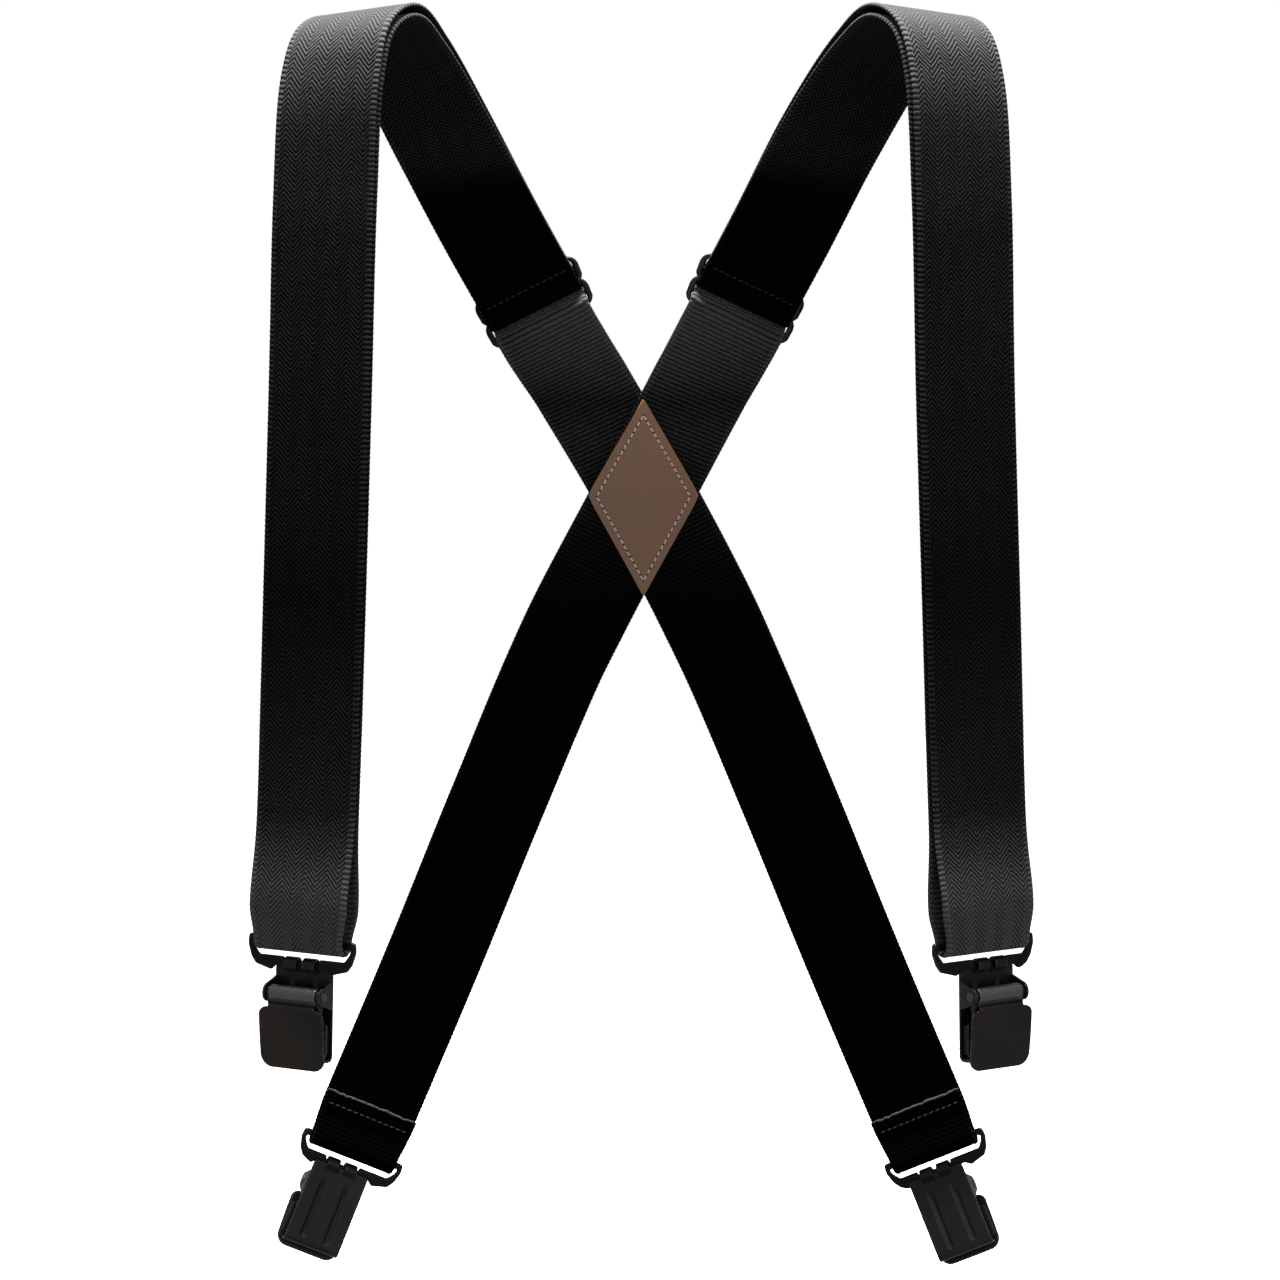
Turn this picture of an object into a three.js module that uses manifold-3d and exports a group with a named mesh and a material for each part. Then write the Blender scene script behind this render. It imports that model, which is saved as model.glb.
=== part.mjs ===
// X-back clip suspenders, worn shape. Millimetres, +Z up, -Y is the wearer's front.
// The origin lies midway between the two shoulders, just above the top of the inner webbing.
import * as THREE from 'three';
import { mergeVertices } from 'three/addons/utils/BufferGeometryUtils.js';
import Module from 'manifold-3d';

const wasm = await Module();
wasm.setup();

// Webbing
const webbingWidth = 38.1;
const webbingThickness = 1.6;
const layerPitchFront = 2.8; // between the middles of the two layers
const layerPitchShoulder = 3.7;
const clearance = 0.3;

// Worn shape of one webbing, from the back clip to the front clip: the place of its middle
// line (x, y, z), the lean and the yaw of its width direction in degrees, and how far both
// webbings sway towards -X there. This is the wearer's right webbing. The left one mirrors it,
// all but the sway.
const stations = [
  [113.3, 116, -418.8, 20.5, 15, 0],
  [82.3, 119, -345.5, 21, 14, 0],
  [56.7, 116, -282.9, 21, 13, 0],
  [29.9, 107, -220.5, 22.5, 12, 0],
  [0, 84, -163.9, 24.5, 11.2, 0],
  [-23.6, 60, -122.4, 25.5, 9, 1.3],
  [-51.9, 31, -72.2, 25, 8, 2.2],
  [-70.4, 6, -38, 21, 12, 2.4],
  [-86.5, -14, -11.2, 13, 20, 1.2],
  [-95.7, -35, -1, 5, 27, 0.2],
  [-104, -52.7, -7.6, 1.5, 25, 0.1],
  [-108, -60, -24, 0, 21, 0.1],
  [-110.5, -63, -66.8, 0, 19.5, 0.1],
  [-111.8, -68, -136.9, 0, 20.3, 0.3],
  [-113.5, -71, -206.6, 0, 21.2, 0.3],
  [-115.6, -69, -276.2, 0, 22.5, 0.4],
  [-117.8, -66, -325.4, 0, 25, 0.4],
];
const leftFrontTurn = 6; // how much further the left webbing turns outward in front, degrees
const crossingStation = 4;
const shoulderBackStation = 8;
const shoulderFrontStation = 12;
const crossingReach = 52; // along each webbing, to where it is clear of the other one
const crossingBlend = 80;
const crossingGap = 0.7;

// Stamped ring that joins webbing and clip
const ringReach = 2.15; // how far the ring reaches past the webbing, each side
const ringWidth = webbingWidth + 2 * ringReach;
const ringThickness = 2;
const ringPitch = 8.3; // from the axis in the webbing's fold to the axis in the clip's fingers
const ringBar = 2.6;
const ringArmLow = 3.2;
const hingeBar = 2; // the narrowed middle of the lower bar
const hingePlay = 3.3; // how much longer that is than the clip's fingers, at each end
const foldRadius = 3.3; // of the webbing's middle line around the ring
const foldSqueeze = 3; // how much narrower the webbing is in the fold
const frontLoopBulge = 3.1; // how far each layer bows out above the front ring
const frontLoopMiddle = 13;
const frontLoopSpread = 17;
const frontLoopLength = 62;
const backHemLength = 18;
const backHemPitch = 2.1;

// Clip
const bodyWidth = 22.8;
const sheet = 0.9;
const bodyLength = 32.6; // from the finger axis to the lip
const fingerWidth = 5;
const fingerGap = 2.2;
const pivotDrop = 9.8;
const pivotOut = 4.4;
const pinRadius = 1;
const pinHole = 1.3;
const earRadius = 3.3;
const barrelRadius = 2.9;
const leverWidth = 25.6;
const leverLength = 26.4; // below the pivot
const leverTop = 4.6; // where the wide plate starts below the pivot
const leverFace = 3.3; // how far the plate's outer face stands in front of the pivot
const leverSlant = 6; // of the plate, its lower end towards the jaw, degrees
const jawWidth = 24.4;
const jawShoulder = 9.4; // where the jaw widens below the pivot
const padLength = 10;
const padWidth = 20;
const ribLength = 22;
const ribWidth = 2.6;
const ribHeight = 0.8;
const ribSpacing = 9.7;
const lipDepth = 4.2;

// Rest tilt of each ring and clip body: above 0 turns the lower end towards the wearer, degrees
const frontTilts = { ring: 1, body: 2 };
const backTilts = { ring: 2, body: 3 };

// Slide adjuster
const slidePitch = 9; // between two bars
const slideBar = 2.4;
const slideThickness = 2;
const slideLobe = 2.4; // how far an end reaches past the webbing
const slideAboveCrossing = 89;
const slideReach = 13.5; // webbing that travels with the adjuster, to each side
const endLoopLength = 11.5; // of the raw end beyond the middle bar, between the two layers
const endLoopDip = 0.775272; // where its layer levels out, as a share of the way to the upper bar

// Leather patches over the crossing
const patchThickness = 1.6;
const patchTip = 0.4;

const webbingColor = { color: 0x0c0c0d, roughness: 0.9, metalness: 0 };
const leatherColor = { color: 0x5e4a3e, roughness: 0.6, metalness: 0 };
const steelColor = { color: 0x1a1a1d, roughness: 0.35, metalness: 0.8 };
const blackSteelColor = { color: 0x101012, roughness: 0.3, metalness: 0.8 };
const gripColor = { color: 0x1d1d1f, roughness: 0.7, metalness: 0 };

const halfThickness = webbingThickness / 2;
const stackPitch = webbingThickness + clearance;
const layerPitchAdjuster = 2 * stackPitch;
const slideBarRadius = Math.hypot(slideBar, slideThickness) / 2;
const slideFoldRadius = slideBarRadius + clearance + halfThickness;

function namedMesh(name, geometry, look) {
  const mesh = new THREE.Mesh(geometry, new THREE.MeshStandardMaterial(look));
  mesh.name = name;
  return mesh;
}

function solidOf(geometry) {
  const bare = geometry.clone();
  bare.deleteAttribute('normal');
  bare.deleteAttribute('uv');
  const merged = mergeVertices(bare, 1e-4);
  const triVerts = Uint32Array.from(merged.index.array);
  const vertProperties = Float32Array.from(merged.attributes.position.array);
  return new wasm.Manifold(new wasm.Mesh({ numProp: 3, vertProperties, triVerts }));
}

function geometryOf(solid) {
  const mesh = solid.getMesh();
  const geometry = new THREE.BufferGeometry();
  geometry.setAttribute('position', new THREE.BufferAttribute(mesh.vertProperties, 3));
  geometry.setIndex(new THREE.BufferAttribute(mesh.triVerts, 1));
  return geometry;
}

function joined(geometries) {
  const solids = geometries.map(solidOf);
  return geometryOf(solids.reduce((whole, next) => whole.add(next)));
}

// Shape whose outline runs through the given points, with each corner rounded by its radius.
function roundedShape(corners) {
  const shape = new THREE.Shape();
  const count = corners.length;
  corners.forEach(([x, y, radius], i) => {
    const here = new THREE.Vector2(x, y);
    const before = new THREE.Vector2(...corners[(i + count - 1) % count]);
    const after = new THREE.Vector2(...corners[(i + 1) % count]);
    const enter = here.clone().lerp(before, Math.min(0.45, radius / here.distanceTo(before)));
    const leave = here.clone().lerp(after, Math.min(0.45, radius / here.distanceTo(after)));
    if (i === 0) {
      shape.moveTo(enter.x, enter.y);
    } else {
      shape.lineTo(enter.x, enter.y);
    }
    if (radius > 0) {
      shape.quadraticCurveTo(x, y, leave.x, leave.y);
    }
  });
  return shape;
}

// Round outline of straight facets about a centre.
function roundPoints(x, y, radius, sides = 20) {
  const points = [];
  for (let k = 0; k < sides; k += 1) {
    const angle = (2 * Math.PI * k) / sides;
    points.push(new THREE.Vector2(x + radius * Math.cos(angle), y + radius * Math.sin(angle)));
  }
  return points;
}

// Both halves of an outline that is given for x above 0 from top to bottom, counter-clockwise.
function mirroredCorners(half, otherHalf = half) {
  const other = otherHalf.map(([x, y, radius]) => [-x, y, radius]).reverse();
  return [...half, ...other].reverse();
}

// Flat plate in the XZ plane: the outline's y becomes z, and the plate is centred on y = middle.
function plate(shape, thickness, middle = 0) {
  const geometry = new THREE.ExtrudeGeometry(shape, {
    depth: thickness,
    bevelEnabled: false,
    curveSegments: 4,
  });
  geometry.translate(0, 0, -thickness / 2);
  geometry.rotateX(Math.PI / 2);
  return geometry.translate(0, middle, 0);
}

// Strip with the given profile of (y, z) points, extruded along X between two places.
function strip(profile, fromX, toX) {
  const shape = new THREE.Shape(profile.map(([y, z]) => new THREE.Vector2(y, z)));
  const geometry = new THREE.ExtrudeGeometry(shape, { depth: toX - fromX, bevelEnabled: false });
  geometry.rotateY(Math.PI / 2);
  geometry.rotateX(Math.PI / 2);
  return geometry.translate(fromX, 0, 0);
}

function box(fromX, toX, fromY, toY, fromZ, toZ) {
  const geometry = new THREE.BoxGeometry(toX - fromX, toY - fromY, toZ - fromZ);
  return geometry.translate((fromX + toX) / 2, (fromY + toY) / 2, (fromZ + toZ) / 2);
}

function rodAlongX(radius, length, sides = 16) {
  return new THREE.CylinderGeometry(radius, radius, length, sides).rotateZ(Math.PI / 2);
}

// Smooth step from 0 to 1 between two distances.
function smoothBetween(from, to, value) {
  return THREE.MathUtils.smoothstep(value, from, to);
}

// Path of webbing pulled around round guides. Each guide has a place (s, h) and a signed radius,
// above 0 where the path turns from +s towards +h, below 0 the other way, 0 for a plain point.
function guidedPath(guides, longestStep, arcStep = Math.PI / 6) {
  const headings = [];
  for (let i = 0; i + 1 < guides.length; i += 1) {
    const reach = new THREE.Vector2(guides[i + 1].s - guides[i].s, guides[i + 1].h - guides[i].h);
    const slant = Math.asin((guides[i + 1].r - guides[i].r) / reach.length());
    headings.push(Math.atan2(reach.y, reach.x) - slant);
  }
  const corners = [];
  guides.forEach((guide, i) => {
    const arriving = headings[Math.max(i - 1, 0)];
    const leaving = headings[Math.min(i, headings.length - 1)];
    let turn = Math.atan2(Math.sin(leaving - arriving), Math.cos(leaving - arriving));
    if (guide.r * turn < 0) {
      turn += Math.sign(guide.r) * 2 * Math.PI;
    }
    const steps = guide.r === 0 ? 0 : Math.ceil(Math.abs(turn) / arcStep);
    for (let k = 0; k <= steps; k += 1) {
      const heading = arriving + (steps === 0 ? 0 : (turn * k) / steps);
      const s = guide.s + guide.r * Math.sin(heading);
      const h = guide.h - guide.r * Math.cos(heading);
      corners.push(new THREE.Vector2(s, h));
    }
  });
  const points = [corners[0]];
  for (let i = 1; i < corners.length; i += 1) {
    const span = corners[i].distanceTo(corners[i - 1]);
    const middle = (corners[i].x + corners[i - 1].x) / 2;
    const parts = Math.max(1, Math.ceil(span / longestStep(middle)));
    for (let k = 1; k <= parts; k += 1) {
      points.push(corners[i - 1].clone().lerp(corners[i], k / parts));
    }
  }
  return points;
}

// Closed band: a rectangular section carried along a path of (s, h) points over a middle line.
function band(path, line, halfWidthAt, thickness) {
  const positions = [];
  const indices = [];
  const corners = [[-1, -1], [1, -1], [1, 1], [-1, 1]];
  path.forEach((point, row) => {
    const before = path[Math.max(row - 1, 0)];
    const after = path[Math.min(row + 1, path.length - 1)];
    const heading = after.clone().sub(before).normalize();
    const frame = line(point.x);
    const middle = frame.centre.clone().addScaledVector(frame.normal, point.y);
    const across = frame.normal.clone().multiplyScalar(heading.x);
    across.addScaledVector(frame.forward, -heading.y);
    corners.forEach(([w, t]) => {
      const corner = middle.clone().addScaledVector(frame.side, w * halfWidthAt(point.x));
      corner.addScaledVector(across, (t * thickness) / 2);
      positions.push(corner.x, corner.y, corner.z);
    });
    if (row > 0) {
      for (let k = 0; k < 4; k += 1) {
        const a = (row - 1) * 4 + k;
        const b = (row - 1) * 4 + ((k + 1) % 4);
        indices.push(a, b, b + 4, a, b + 4, a + 4);
      }
    }
  });
  const last = (path.length - 1) * 4;
  indices.push(0, 2, 1, 0, 3, 2);
  indices.push(last, last + 1, last + 2, last, last + 2, last + 3);
  const geometry = new THREE.BufferGeometry();
  geometry.setAttribute('position', new THREE.Float32BufferAttribute(positions, 3));
  geometry.setIndex(indices);
  return geometry;
}

// Middle line of one webbing: at each distance s it gives the place, the direction of travel,
// the width direction and the outward normal. Mirror is 1 for the wearer's right, -1 for the left.
function middleLine(mirror) {
  const places = stations.map(([x, y, z, , , sway]) => (
    new THREE.Vector3(mirror * x - sway, y, z)
  ));
  const sides = stations.map(([, , , lean, yaw], index) => {
    const inFront = THREE.MathUtils.clamp((index - shoulderFrontStation + 3) / 2, 0, 1);
    const turn = mirror < 0 ? leftFrontTurn * inFront : 0;
    const leanAngle = THREE.MathUtils.degToRad(lean);
    const yawAngle = THREE.MathUtils.degToRad(yaw + turn);
    return new THREE.Vector3(
      Math.cos(leanAngle) * Math.cos(yawAngle),
      -mirror * Math.sin(yawAngle),
      mirror * Math.sin(leanAngle) * Math.cos(yawAngle),
    );
  });
  const curve = new THREE.CatmullRomCurve3(places, false, 'centripetal');
  const sideCurve = new THREE.CatmullRomCurve3(sides, false, 'centripetal');
  const divisions = 60;
  curve.arcLengthDivisions = divisions * (stations.length - 1);
  const lengths = curve.getLengths();
  const whole = lengths[lengths.length - 1];
  const crossing = lengths[crossingStation * divisions];
  const line = (s) => {
    const inside = THREE.MathUtils.clamp(s, 0, whole);
    const t = curve.getUtoTmapping(0, inside);
    const forward = curve.getTangent(t);
    const centre = curve.getPoint(t).addScaledVector(forward, s - inside);
    // around the crossing both webbings lie in one surface, level from side to side
    const level = new THREE.Vector3(0, forward.z, -forward.y).normalize().cross(forward);
    const away = Math.abs(s - crossing);
    const side = level.lerp(sideCurve.getPoint(t), smoothBetween(crossingReach, crossingBlend, away));
    side.addScaledVector(forward, -side.dot(forward)).normalize();
    const normal = forward.clone().cross(side);
    return { centre, forward, side, normal };
  };
  line.whole = whole;
  line.stationAt = (index) => lengths[index * divisions];
  return line;
}

// Lines up a group with the webbing: its Z is along or against the travel, its -Y is outward.
function seatedGroup(line, s, h, zAlongTravel) {
  const frame = line(s);
  const zAxis = frame.forward.clone().multiplyScalar(zAlongTravel);
  const yAxis = frame.normal.clone().negate();
  const xAxis = yAxis.clone().cross(zAxis);
  const group = new THREE.Group();
  group.position.copy(frame.centre).addScaledVector(frame.normal, h);
  group.quaternion.setFromRotationMatrix(new THREE.Matrix4().makeBasis(xAxis, yAxis, zAxis));
  return group;
}

// Flat ring seen from the front, z = 0 on the lower bar's middle. The notch under the bar
// reaches further on the side that the clip has slipped to, so that the clip still swings.
function ringGeometry(slip) {
  const half = ringWidth / 2;
  const top = ringPitch + ringBar / 2;
  const underTop = ringPitch - ringBar / 2;
  const shelf = hingeBar / 2 + 1;
  const hingeHalf = fingerGap / 2 + fingerWidth + hingePlay;
  const outlineHalf = (slippedBy) => {
    const plateHalf = bodyWidth / 2 + 0.5 + slippedBy;
    return [
      [half, top, 2],
      [half, ringPitch - 2.5, 0],
      [half - 1.3, 1.5, 1.5],
      [half - 3.3, -1, 1],
      [plateHalf, -2.6, 0.4],
      [plateHalf, -hingeBar / 2, 0],
    ];
  };
  const outline = roundedShape(mirroredCorners(outlineHalf(slip), outlineHalf(0)));
  const slot = roundedShape(mirroredCorners([
    [webbingWidth / 2 + 0.4, underTop, 0.5],
    [half - 1.3 - ringArmLow, shelf, 0.6],
    [hingeHalf, shelf, 0],
    [hingeHalf, hingeBar / 2, 0],
  ]));
  outline.holes.push(slot);
  return plate(outline, ringThickness);
}

const fingerInner = Math.hypot(hingeBar, ringThickness) / 2 + clearance;
const plateMiddle = fingerInner + sheet / 2;
const plateInner = fingerInner; // face of the body plate that looks to the lever
const fingerTurn = THREE.MathUtils.degToRad(215);

// Profile in the YZ plane of one finger: from the plate, over the ring's bar and down in front.
function fingerProfile() {
  const outer = fingerInner + sheet;
  const steps = 12;
  const points = [[outer, -3], [outer, 0]];
  for (let k = 1; k <= steps; k += 1) {
    const angle = (fingerTurn * k) / steps;
    points.push([outer * Math.cos(angle), outer * Math.sin(angle)]);
  }
  for (let k = steps; k >= 0; k -= 1) {
    const angle = (fingerTurn * k) / steps;
    points.push([fingerInner * Math.cos(angle), fingerInner * Math.sin(angle)]);
  }
  points.push([fingerInner, -3]);
  return points;
}

// Ear in the YZ plane: a tab from the plate to a round end about the pivot, with the pin's hole.
function earGeometry(fromX, toX, backY, radius) {
  const shape = new THREE.Shape();
  shape.moveTo(backY, -pivotDrop - radius);
  shape.lineTo(backY, -pivotDrop + radius);
  shape.lineTo(-pivotOut, -pivotDrop + radius);
  shape.absarc(-pivotOut, -pivotDrop, radius, Math.PI / 2, (3 * Math.PI) / 2, false);
  shape.holes.push(new THREE.Path(roundPoints(-pivotOut, -pivotDrop, pinHole, 16)));
  const settings = { depth: toX - fromX, bevelEnabled: false, curveSegments: 10 };
  const geometry = new THREE.ExtrudeGeometry(shape, settings);
  geometry.rotateY(Math.PI / 2);
  geometry.rotateX(Math.PI / 2);
  return geometry.translate(fromX, 0, 0);
}

// Back plate of the clip with its two fingers, two ears, two long ribs and the bent lip.
function bodyGeometry() {
  const half = bodyWidth / 2;
  const plateTop = -1.3;
  const back = plate(roundedShape(mirroredCorners([
    [half, plateTop, 0.6],
    [half, -bodyLength + 1, 0],
  ])), sheet, plateMiddle);
  const lip = strip([
    [plateMiddle + sheet / 2, -bodyLength + 1.2],
    [plateMiddle + sheet / 2, -bodyLength + 0.6],
    [plateMiddle - 0.6, -bodyLength - sheet],
    [plateMiddle - lipDepth, -bodyLength - sheet],
    [plateMiddle - lipDepth, -bodyLength],
    [plateMiddle - 0.9, -bodyLength],
    [plateMiddle - sheet / 2, -bodyLength + 1],
    [plateMiddle - sheet / 2, -bodyLength + 1.2],
  ], -half, half);
  const pieces = [back, lip];
  [-1, 1].forEach((hand) => {
    const fingerFrom = hand * (fingerGap / 2 + fingerWidth / 2) - fingerWidth / 2;
    pieces.push(strip(fingerProfile(), fingerFrom, fingerFrom + fingerWidth));
    const earFrom = hand > 0 ? half - sheet : -half;
    pieces.push(earGeometry(earFrom, earFrom + sheet, plateMiddle, earRadius));
    const ribMiddle = (hand * ribSpacing) / 2;
    const ribFoot = -bodyLength + 3;
    const rib = new THREE.CylinderGeometry(ribWidth / 2, ribWidth / 2, ribLength, 8);
    rib.scale(1, 1, ribHeight / (ribWidth / 2));
    rib.rotateX(Math.PI / 2);
    pieces.push(rib.translate(ribMiddle, plateMiddle + sheet / 2, ribFoot + ribLength / 2));
  });
  return joined(pieces);
}

// Snap lever about the pivot: a rolled barrel with the pin's bore, a neck and the wide plate.
function leverGeometry() {
  const barrelHalf = bodyWidth / 2 - 2 * sheet - 2 * clearance - 0.3;
  const barrel = new THREE.Shape(roundPoints(0, 0, barrelRadius));
  barrel.holes.push(new THREE.Path(roundPoints(0, 0, pinHole, 16)));
  const roll = new THREE.ExtrudeGeometry(barrel, { depth: 2 * barrelHalf, bevelEnabled: false });
  roll.rotateY(Math.PI / 2);
  roll.translate(-barrelHalf, 0, 0);
  const neck = strip([
    [-1.5, -1],
    [-leverFace + sheet + 0.6, -leverTop + 1],
    [-leverFace + sheet, -leverTop - 1.2],
    [-leverFace + 0.2, -leverTop - 1.2],
    [-leverFace + 0.2, -leverTop - 0.3],
    [-leverFace + 1, -leverTop + 1.2],
    [-barrelRadius + 0.3, -1],
  ], -barrelHalf, barrelHalf);
  const half = leverWidth / 2;
  const wide = plate(roundedShape(mirroredCorners([
    [half, -leverTop, 3.2],
    [half - 0.4, -leverLength, 4.4],
  ])), sheet, -leverFace + sheet / 2);
  wide.translate(0, leverFace, leverTop);
  wide.rotateX(THREE.MathUtils.degToRad(leverSlant));
  wide.translate(0, -leverFace, -leverTop);
  return joined([roll, neck, wide]);
}

// Jaw leaf about the pivot: two inner ears, a plate and a wider foot bent to the lip.
function jawGeometry() {
  const earOuter = bodyWidth / 2 - sheet - clearance;
  const leafY = 0.6;
  const half = jawWidth / 2;
  const leaf = plate(roundedShape(mirroredCorners([
    [earOuter, -earRadius - 0.4, 0],
    [earOuter, -jawShoulder, 0],
    [half, -jawShoulder, 0.3],
    [half, -bodyLength + pivotDrop + 1.2, 0.8],
  ])), sheet, leafY);
  const pieces = [leaf];
  [-1, 1].forEach((hand) => {
    const fromX = hand > 0 ? earOuter - sheet : -earOuter;
    const shape = new THREE.Shape();
    shape.moveTo(leafY + sheet / 2, -earRadius - 2);
    shape.lineTo(leafY + sheet / 2 + 1.2, 0);
    shape.absarc(0, 0, leafY + sheet / 2 + 1.2, 0, Math.PI, false);
    shape.lineTo(leafY - sheet / 2, -earRadius - 2);
    shape.holes.push(new THREE.Path(roundPoints(0, 0, pinHole, 16)));
    const settings = { depth: sheet, bevelEnabled: false, curveSegments: 8 };
    const ear = new THREE.ExtrudeGeometry(shape, settings);
    ear.rotateY(Math.PI / 2);
    ear.rotateX(Math.PI / 2);
    pieces.push(ear.translate(fromX, 0, 0));
  });
  return joined(pieces);
}

// Ring, clip and lever at one end of a webbing. Slip is how far the clip sits off the middle of
// its ring. The two pads that grip are plain blocks.
function addClip(parent, place, line, atFront, slip) {
  const tilts = atFront ? frontTilts : backTilts;
  const axisHeight = ringAxisHeight(atFront);
  const ringGroup = atFront
    ? seatedGroup(line, line.whole, axisHeight, -1)
    : seatedGroup(line, 0, axisHeight, 1);
  ringGroup.rotateX(THREE.MathUtils.degToRad(tilts.ring));
  const ring = namedMesh(`ring_${place}`, ringGeometry(slip), blackSteelColor);
  ring.position.z = -ringPitch;
  const bodyGroup = new THREE.Group();
  bodyGroup.position.set(slip, 0, -ringPitch);
  bodyGroup.rotation.x = THREE.MathUtils.degToRad(tilts.body);
  const pivotGroup = new THREE.Group();
  pivotGroup.position.set(0, -pivotOut, -pivotDrop);
  const padTop = -bodyLength + padLength + 1.6;
  const leafFace = -pivotOut + 0.6 + sheet / 2;
  const padMiddle = -0.4;
  const bodyPad = box(
    -padWidth / 2, padWidth / 2,
    padMiddle + clearance, plateInner - clearance,
    padTop - padLength, padTop,
  );
  const jawPad = box(
    -padWidth / 2, padWidth / 2,
    leafFace + clearance, padMiddle - clearance,
    padTop - padLength, padTop,
  );
  bodyGroup.add(namedMesh(`clip_body_${place}`, bodyGeometry(), steelColor));
  bodyGroup.add(namedMesh(`body_pad_${place}`, bodyPad, gripColor));
  bodyGroup.add(namedMesh(`jaw_pad_${place}`, jawPad, gripColor));
  pivotGroup.add(namedMesh(`lever_${place}`, leverGeometry(), blackSteelColor));
  pivotGroup.add(namedMesh(`jaw_${place}`, jawGeometry(), steelColor));
  pivotGroup.add(namedMesh(`pin_${place}`, rodAlongX(pinRadius, bodyWidth + 0.8), steelColor));
  bodyGroup.add(pivotGroup);
  ringGroup.add(ring, bodyGroup);
  parent.add(ringGroup);
}

// Height of the ring's axis over the inner layer's middle.
function ringAxisHeight(atFront) {
  return atFront ? layerPitchFront / 2 : -backHemPitch / 2;
}

// Three-bar slide: two rounded frames that share the middle bar, so each end has two lobes.
function slideGeometry() {
  const half = webbingWidth / 2 + slideLobe;
  const slotHalf = webbingWidth / 2 + 0.5;
  const frames = [-1, 1].map((hand) => {
    const middle = (hand * slidePitch) / 2;
    const reach = slidePitch / 2 + slideBar / 2;
    const shape = roundedShape(mirroredCorners([
      [half, middle + reach, 4.6],
      [half, middle - reach, 4.6],
    ]));
    const slotReach = slidePitch / 2 - slideBar / 2;
    shape.holes.push(roundedShape(mirroredCorners([
      [slotHalf, middle + slotReach, 1],
      [slotHalf, middle - slotReach, 1],
    ])));
    return plate(shape, slideThickness);
  });
  return joined(frames);
}

// Diamond of leather on one face of the crossing, as wide as both webbings' edges allow.
function patchGeometry(line, height) {
  const crossing = line.stationAt(crossingStation);
  const frame = line(crossing);
  const tiltCos = Math.hypot(frame.forward.y, frame.forward.z);
  const tiltSin = Math.abs(frame.forward.x);
  const halfAcross = webbingWidth / 2 / tiltCos;
  const halfDown = webbingWidth / 2 / tiltSin;
  const rows = 12;
  const lineDown = (down) => {
    const onLine = line(crossing + down / tiltCos);
    const slope = new THREE.Vector3(0, onLine.forward.y, onLine.forward.z).normalize();
    const across = new THREE.Vector3(1, 0, 0);
    const centre = new THREE.Vector3(0, onLine.centre.y, onLine.centre.z);
    return { centre, forward: slope, side: across, normal: slope.clone().cross(across) };
  };
  const path = [];
  for (let row = 0; row <= rows; row += 1) {
    path.push(new THREE.Vector2(-halfDown + (2 * halfDown * row) / rows, height));
  }
  const halfWidthAt = (down) => Math.max(patchTip, halfAcross * (1 - Math.abs(down) / halfDown));
  return band(path, lineDown, halfWidthAt, patchThickness);
}

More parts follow.
